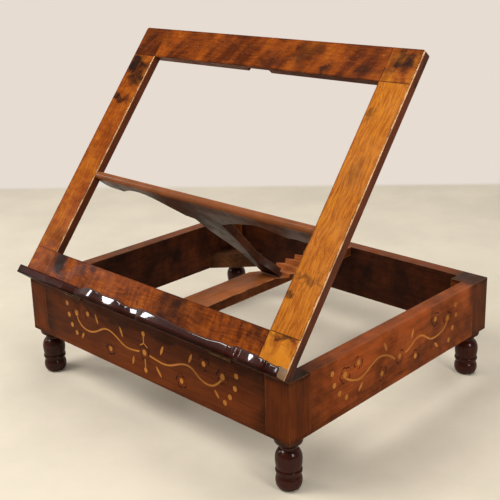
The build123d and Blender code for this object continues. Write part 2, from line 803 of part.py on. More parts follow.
# Prop board. Its outline is cut by hand and not quite even: places are shares of half its width,
# from the middle, and of its length, from the pivot.
left_crown_shares = [(-1, 0.035), (-0.967, 0.082), (-0.835, 0.111), (-0.803, 0.117)]
left_hollow_shares = [
    (-0.803, 0.117), (-0.735, 0.084), (-0.618, 0.059), (-0.523, 0.078), (-0.401, 0.164), (-0.281, 0.26),
]
left_neck_shares = [(-0.202, 0.259), (-0.19, 0.358), (-0.087, 0.644), (-0.073, 0.81)]
right_neck_shares = [(0.075, 0.912), (0.018, 0.809), (0.031, 0.631), (0.072, 0.253)]
right_hollow_shares = [
    (0.072, 0.253), (0.244, 0.171), (0.383, 0.126), (0.5, 0.1), (0.6, 0.13), (0.702, 0.172),
]
right_crown_shares = [(0.702, 0.172), (0.76, 0.153), (0.85, 0.16), (0.96, 0.12), (1, 0.045)]


def board_points(shares):
    """Places of the prop board's outline."""
    return [(side_share * prop_half_width, down_share * prop_length) for side_share, down_share in shares]


heel_left = heel_offset - heel_width / 2
heel_right = heel_offset + heel_width / 2
rebate_start = prop_length - heel_rebate_length

with BuildPart() as prop_board:
    with BuildSketch(prop_plane.offset(-prop_thickness / 2)):
        with BuildLine():
            Polyline(board_points(left_crown_shares)[0], (-prop_half_width, 0), (prop_half_width, 0),
                     board_points(right_crown_shares)[-1])
            Spline(*board_points(right_crown_shares))
            Spline(*board_points(right_hollow_shares))
            Spline((heel_right, rebate_start), *board_points(right_neck_shares))
            Polyline((heel_right, rebate_start), (heel_right, prop_length), (heel_left, prop_length),
                     (heel_left, rebate_start))
            Spline(*board_points(left_neck_shares), (heel_left, rebate_start))
            Line(board_points(left_neck_shares)[0], board_points(left_hollow_shares)[-1])
            Spline(*board_points(left_hollow_shares))
            Spline(*board_points(left_crown_shares))
        make_face()
    extrude(amount=prop_thickness)
    add(cylinder_on(prop_pivot.Y, prop_pivot.Z, -prop_half_width, 2 * prop_half_width, prop_thickness / 2))
    bore_radius = pivot_pin_radius + pivot_pin_clearance
    for side in (-1, 1):
        bore_start = side * opening_half_width - pivot_pin_reach - moving_gap
        bore_length = 2 * (pivot_pin_reach + moving_gap)
        bore = cylinder_on(prop_pivot.Y, prop_pivot.Z, bore_start, bore_length, bore_radius)
        add(bore, mode=Mode.SUBTRACT)
    rebate_low = heel_thickness - prop_thickness / 2
    with BuildSketch(prop_plane.offset(rebate_low)):
        with Locations((heel_offset, rebate_start)):
            rebate_size = (heel_width + overrun, heel_rebate_length + overrun)
            Rectangle(*rebate_size, align=(Align.CENTER, Align.MIN))
    extrude(amount=prop_thickness, mode=Mode.SUBTRACT)
prop_board.part.label = "prop_board"
export_step(prop_board.part, "parts/prop_board.step")
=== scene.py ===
"""Looks of a reading stand for a table top.

A box-shaped walnut base on turned feet carries a ledged reading frame, faced with figured veneer
and held up by a hand-cut board that rests on a toothed bar. Lengths are in metres. X runs to the
right, Y to the back and Z up, with the origin on the floor under the middle of the base.
"""

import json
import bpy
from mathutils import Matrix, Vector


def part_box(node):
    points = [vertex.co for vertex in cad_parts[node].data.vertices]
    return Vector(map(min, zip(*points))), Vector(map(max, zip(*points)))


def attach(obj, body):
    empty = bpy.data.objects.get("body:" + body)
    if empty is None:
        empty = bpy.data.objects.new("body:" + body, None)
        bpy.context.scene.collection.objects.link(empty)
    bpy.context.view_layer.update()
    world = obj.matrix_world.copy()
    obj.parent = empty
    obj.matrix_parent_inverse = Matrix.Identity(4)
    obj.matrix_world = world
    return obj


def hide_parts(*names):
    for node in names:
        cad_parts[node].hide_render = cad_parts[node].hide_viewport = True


bl_info = {
    "name": "Reading Stand",
    "version": (1, 0, 0),
    "blender": (4, 5, 0),
    "location": "3D View > Sidebar > Reading Stand",
    "description": "Polished walnut, figured veneer, inlay and brass for a reading stand",
    "category": "Object",
}

from math import cos, radians, sin

import bmesh
import bpy
import numpy as np
from bpy.props import FloatProperty, FloatVectorProperty, IntProperty, PointerProperty
from mathutils import Euler, Matrix, Vector

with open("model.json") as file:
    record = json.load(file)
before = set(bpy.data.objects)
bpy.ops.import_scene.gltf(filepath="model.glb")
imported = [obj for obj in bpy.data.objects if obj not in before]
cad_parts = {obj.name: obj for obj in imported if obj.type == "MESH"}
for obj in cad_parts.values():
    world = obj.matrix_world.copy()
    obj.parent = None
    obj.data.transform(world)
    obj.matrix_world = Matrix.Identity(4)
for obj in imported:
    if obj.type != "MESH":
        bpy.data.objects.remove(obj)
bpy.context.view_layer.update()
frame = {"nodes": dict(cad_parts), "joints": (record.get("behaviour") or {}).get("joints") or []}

MM = 0.001
# Points nearer than the first are merged, edges shorter than the second taken out
MERGE_DISTANCE = 1e-6
NIL_LENGTH = 1e-7
ORIGIN = (0.0, 0.0, 0.0)
CORNERS = ("front_left", "front_right", "back_left", "back_right")
JOINTS = {joint["name"]: joint for joint in frame["joints"]}

# The two tilted boards: a place on each one's turning axis and its angle above the line to the back
FRAME_HINGE = Vector(JOINTS["frame_tilt"]["pos_m"])
FRAME_ANGLE = -radians(JOINTS["frame_tilt"]["range_deg"][0])
BOARD_PIVOT = Vector(JOINTS["prop_swing"]["pos_m"])
BOARD_ANGLE = FRAME_ANGLE - radians(JOINTS["prop_swing"]["range_deg"][1])

# The reading frame's face, seen flat: half its width, its length, and half the opening's width
# with its lower and upper edges
FRAME_HALF_WIDTH = 0.261
FRAME_LENGTH = 0.436
OPENING_HALF_WIDTH = 0.2135
OPENING_LOW = 0.049
OPENING_HIGH = 0.387
FRAME_FRONT = 0.013

# Turns that lay local X along the grain of a piece
GRAIN_ALONG_X = (0.0, 0.0, 0.0)
GRAIN_ALONG_Y = (0.0, 0.0, radians(90))
GRAIN_ALONG_Z = (0.0, radians(-90), 0.0)

# A foot's outline from the floor up, as shares of its radius and of its height
FOOT_BALL = [(0.5, 0.0), (0.72, 0.014), (0.87, 0.07), (0.93, 0.145), (0.9, 0.21), (0.8, 0.262)]
FOOT_RING = [
    (0.8, 0.262), (0.79, 0.285), (0.85, 0.312), (0.925, 0.338), (0.925, 0.36), (0.845, 0.376),
]
FOOT_BULB = [(0.845, 0.376), (0.895, 0.44), (0.935, 0.52), (0.935, 0.6), (0.86, 0.68), (0.6, 0.768)]
FOOT_COVE = [(0.6, 0.768), (0.62, 0.81), (0.7, 0.853), (0.88, 0.892)]
FOOT_COLLAR = [(0.88, 0.892), (0.955, 0.902), (0.99, 0.93), (0.995, 0.965), (0.985, 1.0)]

# The book ledge's front, as shares of half the frame's width and of the ledge's depth
LEDGE_LEFT_TAB = [(-1, 0.82), (-0.575, 0.82), (-0.49, 0.47), (-0.406, 0.59), (-0.402, 0.88)]
LEDGE_LEFT_BOW = [(-0.402, 0.88), (-0.32, 0.98), (-0.24, 0.88), (-0.15, 0.92), (-0.08, 0.76)]
LEDGE_HOLLOW = [(-0.08, 0.76), (-0.025, 0.6), (0.03, 0.65)]
LEDGE_MIDDLE_BOW = [(0.03, 0.65), (0.11, 0.93), (0.23, 1), (0.46, 0.94), (0.664, 0.7)]
LEDGE_GAP = [(0.664, 0.7), (0.678, 0.41), (0.705, 0.41), (0.751, 0.76)]
LEDGE_RIGHT_LOBE = [(0.751, 0.76), (0.79, 0.78), (0.825, 0.84), (0.862, 0.9), (0.904, 0.62)]
LEDGE_RIGHT_TAIL = [(0.904, 0.62), (0.92, 0.47), (0.955, 0.47), (0.985, 0.9), (1, 0.9)]

# Its upper edge and the top of the bevel under its front, as shares of half the frame's width and
# of the ledge's height, and where the bevel begins, right of the plain tab
LEDGE_UPPER_EDGE = [
    (-1, 0.72), (-0.6, 0.68), (-0.42, 0.72), (-0.412, 0.86), (-0.35, 0.95), (-0.3, 0.935),
    (-0.268, 0.85), (-0.13, 0.89), (-0.08, 0.72), (-0.02, 0.765), (0.036, 0.915), (0.066, 0.93),
    (0.28, 0.815), (0.355, 0.713), (0.49, 0.68), (0.55, 0.69), (0.62, 0.83), (0.675, 0.8),
    (0.69, 0.98), (0.75, 0.92), (0.84, 0.88), (0.935, 0.7), (1, 0.76),
]
LEDGE_BEVEL_EDGE = [
    (-1, 0.02), (-0.6, 0.07), (-0.43, 0.08), (-0.41, 0.22), (-0.3, 0.25), (-0.2, 0.17), (-0.1, 0.2),
    (0, 0.31), (0.04, 0.42), (0.1, 0.33), (0.2, 0.24), (0.3, 0.24), (0.45, 0.16), (0.56, 0.19),
    (0.64, 0.24), (0.68, 0.17), (0.77, 0.12), (0.83, 0.18), (0.88, 0.1), (1, 0.09),
]

LEDGE_BEVEL_FROM = -0.52
LEDGE_BEVEL_FADE = 0.04

# The prop board's lower edge, as shares of half its width and of its length from the pivot, and the
# two sides of its heel
BOARD_NECK_END = 0.9643
HEEL_LEFT = -0.0165
HEEL_RIGHT = 0.0205
BOARD_LEFT_CROWN = [(-1, 0.035), (-0.967, 0.082), (-0.835, 0.111), (-0.803, 0.117)]
BOARD_LEFT_HOLLOW = [
    (-0.803, 0.117), (-0.735, 0.084), (-0.618, 0.059), (-0.523, 0.078), (-0.401, 0.164),
    (-0.281, 0.26),
]
BOARD_LEFT_NECK = [
    (-0.202, 0.259), (-0.19, 0.358), (-0.087, 0.644), (-0.073, 0.81), (-0.0775, BOARD_NECK_END),
]
BOARD_RIGHT_NECK = [
    (0.0962, BOARD_NECK_END), (0.075, 0.912), (0.018, 0.809), (0.031, 0.631), (0.072, 0.253),
]
BOARD_RIGHT_HOLLOW = [
    (0.072, 0.253), (0.244, 0.171), (0.383, 0.126), (0.5, 0.1), (0.6, 0.13), (0.702, 0.172),
]
BOARD_RIGHT_CROWN = [(0.702, 0.172), (0.76, 0.153), (0.85, 0.16), (0.96, 0.12), (1, 0.045)]

# Flowers of the inlay, with petals scribed round them: shares of the rail's half length from its
# middle and of its height from its lower edge, then the flower's radius. The petals reach further
# by a share of it, and their line has a width. A rail ends in tenons.
RAIL_TENON = 0.012
POST_SIDE = 0.038
PETAL_SHARE = 1.45
PETAL_LINE = 0.001
FRONT_FLOWERS = [
    (-0.562, 0.69, 0.0068), (0.01, 0.49, 0.0074), (0.581, 0.66, 0.0072), (-0.46, 0.76, 0.0062),
    (-0.273, 0.28, 0.0062), (0.454, 0.746, 0.0072), (0.288, 0.274, 0.0068),
]
SIDE_FLOWERS = [
    (-0.531, 0.65, 0.0072), (0.517, 0.64, 0.0068), (-0.408, 0.734, 0.0062), (-0.181, 0.311, 0.0068),
    (0.376, 0.746, 0.0068), (0.163, 0.274, 0.0064), (-0.005, 0.435, 0.0066),
]

# Shadow and grime on the front rail, under the ledge: its middle, half size and strength
UNDER_LEDGE = ((0.0, -0.01, 0.038), (0.3, 1.0, 0.012), 0.6)

# Where the veneer is marked: middle and half size across and along the frame, then the strength
LEFT_STILE_MARKS = [
    (-0.245, 0.368, 0.03, 0.015, 1.6), (-0.228, 0.346, 0.024, 0.013, 1.5),
    (-0.247, 0.308, 0.034, 0.007, 1.2), (-0.232, 0.07, 0.03, 0.018, 0.5),
]
TOP_RAIL_MARKS = [
    (0.074, 0.415, 0.018, 0.02, 1.5), (0.098, 0.424, 0.013, 0.013, 1.3),
    (0.123, 0.397, 0.008, 0.008, 1.0), (0.02, 0.4, 0.026, 0.01, 0.5),
    (-0.205, 0.425, 0.01, 0.02, 0.7), (0.19, 0.398, 0.03, 0.006, 0.7),
]
RIGHT_STILE_MARKS = [
    (0.222, 0.34, 0.007, 0.006, 1.0), (0.236, 0.262, 0.014, 0.02, 0.4),
    (0.216, 0.095, 0.005, 0.006, 0.8), (0.238, 0.12, 0.024, 0.004, 0.6),
]
BOTTOM_RAIL_MARKS = [
    (-0.195, 0.038, 0.018, 0.018, 1.2), (0.05, 0.03, 0.036, 0.03, 0.9),
    (0.1, 0.036, 0.016, 0.022, 0.7), (-0.12, 0.046, 0.06, 0.004, 0.6),
    (0.195, 0.04, 0.016, 0.01, 0.5),
]
TOP_RIGHT_MARKS = [(0.236, 0.42, 0.02, 0.016, 1.0), (0.22, 0.4, 0.01, 0.008, 0.6)]
TOP_LEFT_MARKS = [(-0.244, 0.424, 0.016, 0.014, 0.9)]
BOTTOM_RIGHT_MARKS = [(0.236, 0.046, 0.024, 0.003, 0.8)]
BOTTOM_LEFT_MARKS = [(-0.222, 0.036, 0.01, 0.014, 0.6)]


def swatch(red, green, blue):
    """Linear colour of a paint swatch given in steps of 0 to 255."""
    share = np.array([red, green, blue]) / 255
    linear = np.where(share <= 0.04045, share / 12.92, ((share + 0.055) / 1.055) ** 2.4)
    return tuple(float(part) for part in linear)


def opaque(colour):
    """The colour with full cover, as a shader's colour socket takes it."""
    return (*tuple(colour)[:3], 1.0)


# ---------------------------------------------------------------- settings


def colour_setting(name, description, red, green, blue):
    """A colour that the user can change."""
    return FloatVectorProperty(
        name=name, description=description, default=swatch(red, green, blue),
        subtype="COLOR", size=3, min=0, max=1,
    )


def length_setting(name, description, default):
    """A length that the user can change."""
    return FloatProperty(
        name=name, description=description, default=default, min=0, precision=4,
        subtype="DISTANCE", unit="LENGTH",
    )


def power_setting(name, description, default):
    """A lamp's power that the user can change."""
    return FloatProperty(name=name, description=description, default=default, min=0, unit="POWER")


class StandShapeSettings(bpy.types.PropertyGroup):
    """Sizes of the pieces that are shaped here"""

    foot_radius: length_setting("Foot radius", "Largest radius of a turned foot", 0.018)
    foot_height: length_setting("Foot height", "Height of a turned foot below its post", 0.07)
    foot_sides: IntProperty(
        name="Foot sides", description="Faces round a turned foot", default=72, min=12,
    )
    ledge_height: length_setting("Ledge height", "Greatest height of the book ledge", 0.0174)
    ledge_depth: length_setting("Ledge depth", "How far the book ledge stands out at most", 0.017)
    ledge_bevel_depth: length_setting("Bevel depth", "Depth of the bevel under the ledge", 0.0025)
    ledge_round: length_setting("Ledge round", "Rounding of the ledge's upper front edge", 0.0022)
    board_length: length_setting("Board length", "Length of the board from its pivot", 0.209996)
    board_half_width: length_setting("Board half width", "Half the width of the prop board", 0.213)
    board_thickness: length_setting("Board thickness", "Thickness of the prop board", 0.012)
    board_round: length_setting("Board round", "Rounding of the prop board's cut edges", 0.0009)
    arris: length_setting("Arris", "Width of the worn bevel along plain edges", 0.0006)


class StandFinishSettings(bpy.types.PropertyGroup):
    """Colours of the woods and metals"""

    walnut_dark: colour_setting("Walnut, dark", "Dark grain of the base", 52, 22, 9)
    walnut_light: colour_setting("Walnut, light", "Light grain of the base", 146, 70, 26)
    # Near black for the faces inside the base and for the corner blocks: painted shade inside the
    # base
    walnut_inside: colour_setting("Walnut, inside", "Faces inside the base", 25, 14, 12)
    walnut_worn: colour_setting("Walnut, worn", "Wood that shows where edges are worn", 150, 96, 58)
    walnut_faded: colour_setting("Walnut, faded", "Faded top edges of the base", 86, 56, 36)
    foot_wood: colour_setting("Turned feet", "Near-black polish of the feet", 22, 8, 5)
    foot_glow: colour_setting("Turned feet, glow", "Red-brown wood under the polish", 68, 25, 13)
    bar_wood: colour_setting("Toothed bar", "Light grain of the toothed bar", 166, 94, 48)
    board_wood: colour_setting("Prop board", "Light grain of the prop board", 84, 42, 22)
    ledge_wood: colour_setting("Ledge", "Dark red polish of the book ledge", 66, 25, 16)
    veneer_gold: colour_setting("Veneer, gold", "Bright figure of the veneer", 206, 128, 36)
    veneer_orange: colour_setting("Veneer, orange", "Middle tone of the veneer", 142, 68, 18)
    veneer_brown: colour_setting("Veneer, brown", "Dark figure of the veneer", 84, 36, 13)
    veneer_mark: colour_setting("Veneer, marks", "Dark marks in the veneer", 40, 22, 15)
    core_wood: colour_setting("Frame core", "Side and back of the reading frame", 104, 50, 26)
    inlay_wood: colour_setting("Inlay", "Light wood of the inlay", 194, 124, 47)
    brass: colour_setting("Brass", "Old brass of hinges and screws", 92, 66, 34)
    steel: colour_setting("Steel", "Pivot pins of the prop board", 120, 116, 110)


class StandStageSettings(bpy.types.PropertyGroup):
    """Floor, backdrop and lamps"""

    floor_colour: colour_setting("Floor", "Pale floor", 225, 215, 196)
    wall_colour: colour_setting("Backdrop", "Pale backdrop", 231, 220, 210)
    sky_strength: FloatProperty(
        name="Room light", description="Even light from all round", default=0.17, min=0,
    )
    key_power: power_setting("Key lamp", "Power of the main lamp, front left", 39)
    fill_power: power_setting("Overhead lamp", "Power of the wide lamp overhead", 28)
    left_power: power_setting("Left lamp", "Power of the narrow lamp on the left", 8)
    right_power: power_setting("Right lamp", "Power of the lamp on the right", 18)
    front_power: power_setting("Front lamp", "Power of the small lamp in front", 2)
    focal_length: FloatProperty(
        name="Focal length", description="Focal length of the camera",
        default=66.82, min=1, unit="CAMERA",
    )


# ---------------------------------------------------------------- surfaces


def smooth_run(points, count):
    """Points along a smooth curve through the given ones.

    Between two neighbours the curve is a cubic in the length walked along their chords. Slope and
    bend agree where two cubics meet, and the bend is nil at both ends; one set of linear equations
    gives the bends at all the points.
    """
    points = np.asarray(points, float)
    steps = np.linalg.norm(np.diff(points, axis=0), axis=1)
    at = np.concatenate([[0.0], np.cumsum(steps)])
    inner = np.arange(1, len(at) - 1)
    system = np.eye(len(at))
    system[inner, inner - 1] = steps[:-1]
    system[inner, inner] = 2 * (steps[:-1] + steps[1:])
    system[inner, inner + 1] = steps[1:]
    turn = np.zeros_like(points)
    turn[1:-1] = 6 * np.diff(np.diff(points, axis=0) / steps[:, None], axis=0)
    bend = np.linalg.solve(system, turn)
    walk = np.linspace(0, at[-1], count)
    span = np.clip(np.searchsorted(at, walk, side="right") - 1, 0, len(steps) - 1)
    width = steps[span][:, None]
    ahead = (walk - at[span])[:, None]
    behind = width - ahead
    cubes = (bend[span] * behind**3 + bend[span + 1] * ahead**3) / (6 * width)
    start = (points[span] / width - bend[span] * width / 6) * behind
    end = (points[span + 1] / width - bend[span + 1] * width / 6) * ahead
    return cubes + start + end


def straight_run(points, count):
    """Points spaced evenly along each straight step between the given ones."""
    points = np.asarray(points, float)
    at = np.linspace(0, len(points) - 1, count * (len(points) - 1) + 1)
    index = np.arange(len(points))
    return np.stack([np.interp(at, index, part) for part in points.T], axis=1)


def eased_corners(corners, cuts, steps):
    """A closed outline with its corners eased, for a whole stack of outlines at once.

    corners is (outlines, corners, 2) and cuts (outlines, corners). Each corner gives way to the
    curve (1-t)^2 A + 2t(1-t) C + t^2 B, where C is the corner and A and B lie the cut's length
    away from it along its two sides.
    """
    before = np.roll(corners, 1, axis=1) - corners
    after = np.roll(corners, -1, axis=1) - corners
    start = corners + before / np.linalg.norm(before, axis=2, keepdims=True) * cuts[..., None]
    end = corners + after / np.linalg.norm(after, axis=2, keepdims=True) * cuts[..., None]
    t = np.linspace(0, 1, steps)[None, None, :, None]
    start, bend, end = start[:, :, None], corners[:, :, None], end[:, :, None]
    curve = (1 - t) ** 2 * start + 2 * t * (1 - t) * bend + t**2 * end
    return curve.reshape(len(corners), -1, 2)


def closed_skin(name, shells):
    """One mesh object of closed skins, each a grid of points whose rows run round it.

    Row i, column j joins row i+1 and column j+1, the last column joins the first, and the first
    and last rows are each closed by one face. Points that fall together are merged.
    """
    points, faces, first = [], [], 0
    for rows in shells:
        count, around = rows.shape[:2]
        index = first + np.arange(count * around).reshape(count, around)
        here, there = index[:-1], index[1:]
        cells = [here, np.roll(here, -1, axis=1), np.roll(there, -1, axis=1), there]
        cells = np.stack(cells, axis=2)
        faces += cells.reshape(-1, 4).tolist() + [index[0, ::-1].tolist(), index[-1].tolist()]
        points.append(rows.reshape(-1, 3))
        first += count * around
    mesh = bpy.data.meshes.new(name)
    mesh.from_pydata(np.concatenate(points), [], faces)
    work = bmesh.new()
    work.from_mesh(mesh)
    bmesh.ops.remove_doubles(work, verts=work.verts, dist=MERGE_DISTANCE)
    bmesh.ops.dissolve_degenerate(work, edges=work.edges, dist=NIL_LENGTH)
    bmesh.ops.recalc_face_normals(work, faces=work.faces)
    work.to_mesh(mesh)
    work.free()
    mesh.shade_smooth()
    mesh.set_sharp_from_angle(angle=radians(38))
    piece = bpy.data.objects.new(name, mesh)
    bpy.context.scene.collection.objects.link(piece)
    return piece


def on_board(place, angle, points):
    """Places in the stand's frame of points given across, along and out of a tilted board."""
    across, along, out = points[..., 0], points[..., 1], points[..., 2]
    back = place.y + along * cos(angle) - out * sin(angle)
    up = place.z + along * sin(angle) + out * cos(angle)
    return np.stack([across + place.x, back, up], axis=-1)


def turned_foot_rows(middle, shape, dowel_radius, dowel_top):
    """A turned foot with its dowel.

    The outline gives a radius r at each height z, and the surface is the place
    (r cos a, r sin a, z) from the foot's axis, for every angle a round it.
    """
    runs = (FOOT_BALL, FOOT_RING, FOOT_BULB, FOOT_COVE, FOOT_COLLAR)
    runs = [smooth_run(run, 14) for run in runs]
    outline = np.concatenate(runs) * (shape.foot_radius, shape.foot_height)
    dowel = [(dowel_radius, outline[-1, 1]), (dowel_radius, dowel_top - MM)]
    dowel += [(dowel_radius - MM, dowel_top)]
    outline = np.concatenate([outline, dowel])
    angle = np.linspace(0, 2 * np.pi, shape.foot_sides, endpoint=False)
    radius = outline[:, :1]
    height = np.broadcast_to(outline[:, 1:], (len(outline), len(angle)))
    x, y = middle.x + radius * np.cos(angle), middle.y + radius * np.sin(angle)
    return np.stack([x, y, height], axis=2)


def smoothed_height(x, line, reach):
    """Height of a broken line at each place x, as a mean weighted by exp(-2 t^2) over the reach."""
    spread = np.linspace(-1, 1, 9)[:, None]
    weight = np.exp(-2 * spread**2)
    rising = np.maximum.accumulate(line[:, 0] + np.arange(len(line)) * 1e-9)
    return (np.interp(x + spread * reach, rising, line[:, 1]) * weight).sum(0) / weight.sum()


def ledge_rows(shape):
    """The book ledge: a section with eased corners, carried along the frame's width.

    At a place x the section is as deep as the ledge's front there and as high as its upper edge,
    both smoothed over about a millimetre. The bevel under the front fades in right of the plain
    tab, and both ends are eased: the section draws in by r - sqrt(r^2 - (r-e)^2) where the end is
    e away.
    """
    end_round, plain_round = 0.8 * MM, 0.1 * MM
    least_bevel_depth, least_bevel_height = 0.3 * MM, 0.4 * MM
    front_reach, top_reach, bevel_reach = 0.9 * MM, 1.2 * MM, 3 * MM
    bows = [smooth_run(run, 40) for run in (LEDGE_LEFT_BOW, LEDGE_HOLLOW, LEDGE_MIDDLE_BOW)]
    lobe = smooth_run(LEDGE_RIGHT_LOBE, 30)
    runs = [np.asarray(LEDGE_LEFT_TAB), *bows, np.asarray(LEDGE_GAP), lobe]
    outline = np.concatenate(runs + [np.asarray(LEDGE_RIGHT_TAIL)])
    outline = outline * (FRAME_HALF_WIDTH, shape.ledge_depth)
    near = end_round * (1 - np.cos(np.linspace(0, np.pi / 2, 6)))
    middle = np.linspace(-FRAME_HALF_WIDTH + end_round, FRAME_HALF_WIDTH - end_round, 900)
    x = np.concatenate([near[:-1] - FRAME_HALF_WIDTH, middle, FRAME_HALF_WIDTH - near[:-1][::-1]])
    depth = smoothed_height(x, outline, front_reach)
    size = (FRAME_HALF_WIDTH, shape.ledge_height)
    top = smoothed_height(x, np.asarray(LEDGE_UPPER_EDGE) * size, top_reach)
    bevel_top = smoothed_height(x, np.asarray(LEDGE_BEVEL_EDGE) * size, bevel_reach)
    to_end = np.minimum(FRAME_HALF_WIDTH - np.abs(x), end_round)
    drawn_in = end_round - np.sqrt(end_round**2 - (end_round - to_end) ** 2)
    fade = np.clip((x / FRAME_HALF_WIDTH - LEDGE_BEVEL_FROM) / LEDGE_BEVEL_FADE, 0, 1)
    bevel_depth = least_bevel_depth + fade * (shape.ledge_bevel_depth - least_bevel_depth)
    bevel_height = np.maximum(bevel_top, least_bevel_height)
    low, high, front = drawn_in, top - drawn_in, depth - drawn_in
    back = np.zeros_like(x)
    corners = np.stack(
        [
            np.stack([low, back], 1),
            np.stack([low, front - bevel_depth], 1),
            np.stack([low + bevel_height, front], 1),
            np.stack([high, front], 1),
            np.stack([high, back], 1),
        ],
        axis=1,
    )
    plain = np.full_like(x, plain_round)
    bevel_foot, bevel_head = plain + fade * 0.6 * MM, plain + fade * 0.9 * MM
    front_edge = np.full_like(x, shape.ledge_round)
    cuts = np.stack([plain, bevel_foot, bevel_head, front_edge, plain], 1)
    section = eased_corners(corners, cuts, 6)
    across = np.broadcast_to(x[:, None], section.shape[:2])
    local = np.stack([across, section[..., 0], section[..., 1] + FRAME_FRONT], axis=2)
    return on_board(FRAME_HINGE, FRAME_ANGLE, local)


def slab_rows(outline, inset, radius, low, high, steps=6):
    """A slab with eased edges, as rows of one outline from its front face to its back.

    With f from nil to a quarter turn, the outline is drawn in by inset (1 - sin f) and lies
    r (1 - cos f) below the front face, or as far above the back one. inset is a step into the
    slab for each point of the outline, and r its radius there.
    """
    turn = np.linspace(0, np.pi / 2, steps)[:, None]
    flat = outline[None] + inset[None] * (1 - np.sin(turn))[..., None]
    fall = radius[None] * (1 - np.cos(turn))
    front = np.concatenate([flat, (high - fall)[..., None]], axis=2)
    back = np.concatenate([flat, (low + fall)[..., None]], axis=2)
    return np.concatenate([front, back[::-1]])


def steps_inward(outline, radius):
    """Steps square to a closed outline, into it, each as long as its radius.

    The outline is walked with its inside on the left, so a step is the mean direction of its two
    sides, turned a quarter to the left.
    """
    along = np.roll(outline, -1, axis=0) - np.roll(outline, 1, axis=0)
    along /= np.linalg.norm(along, axis=1, keepdims=True)
    return np.stack([-along[:, 1], along[:, 0]], axis=1) * radius[:, None]


def prop_board_rows(shape):
    """The prop board and its heel, each a slab with eased edges.

    The outline runs to the right along the rounded pivot edge, whose radius is half the board's
    thickness, and comes back along the lower edge, cut by hand.
    """
    half_thickness = shape.board_thickness / 2
    size = (shape.board_half_width, shape.board_length)
    edge_share = -half_thickness / shape.board_length
    pivot_edge = straight_run([(-1, edge_share), (1, edge_share)], 120)
    right_end = straight_run([(1, 0), BOARD_RIGHT_CROWN[-1]], 4)
    right_runs = (BOARD_RIGHT_CROWN, BOARD_RIGHT_HOLLOW, BOARD_RIGHT_NECK)
    left_runs = (BOARD_LEFT_NECK, BOARD_LEFT_HOLLOW, BOARD_LEFT_CROWN)
    lower_right, lower_left = (
        [smooth_run(run[::-1], 40)[:-1] for run in runs] for runs in (right_runs, left_runs)
    )
    heel_line = straight_run([BOARD_RIGHT_NECK[0], BOARD_LEFT_NECK[-1]], 12)[1:-1]
    left_end = straight_run([BOARD_LEFT_CROWN[0], (-1, 0)], 4)[1:]
    outline = size * np.concatenate([
        pivot_edge, right_end[:-1], *lower_right, BOARD_RIGHT_NECK[:1], heel_line,
        *lower_left, BOARD_LEFT_CROWN[:1], left_end,
    ])
    radius = np.full(len(outline), shape.board_round)
    inset = steps_inward(outline, radius)
    count = len(pivot_edge)
    radius[:count] = half_thickness
    inset[:count] = (0, half_thickness)
    inset[0] = (shape.board_round, half_thickness)
    inset[count - 1] = (-shape.board_round, half_thickness)
    board = slab_rows(outline, inset, radius, -half_thickness, half_thickness, 9)

    inside, overlap, heel_round = 0.05 * MM, 2 * MM, 0.5 * MM
    left, right = HEEL_LEFT + inside, HEEL_RIGHT - inside
    low, high = BOARD_NECK_END * shape.board_length - overlap, shape.board_length
    corners = [(left, low), (right, low), (right, high), (left, high), (left, low)]
    heel_outline = straight_run(corners, 8)[:-1]
    heel_radius = np.full(len(heel_outline), heel_round)
    heel_inset = steps_inward(heel_outline, heel_radius)
    heel = slab_rows(heel_outline, heel_inset, heel_radius, inside - half_thickness, MM)
    return [on_board(BOARD_PIVOT, BOARD_ANGLE, rows) for rows in (board, heel)]


# ---------------------------------------------------------------- shader helpers


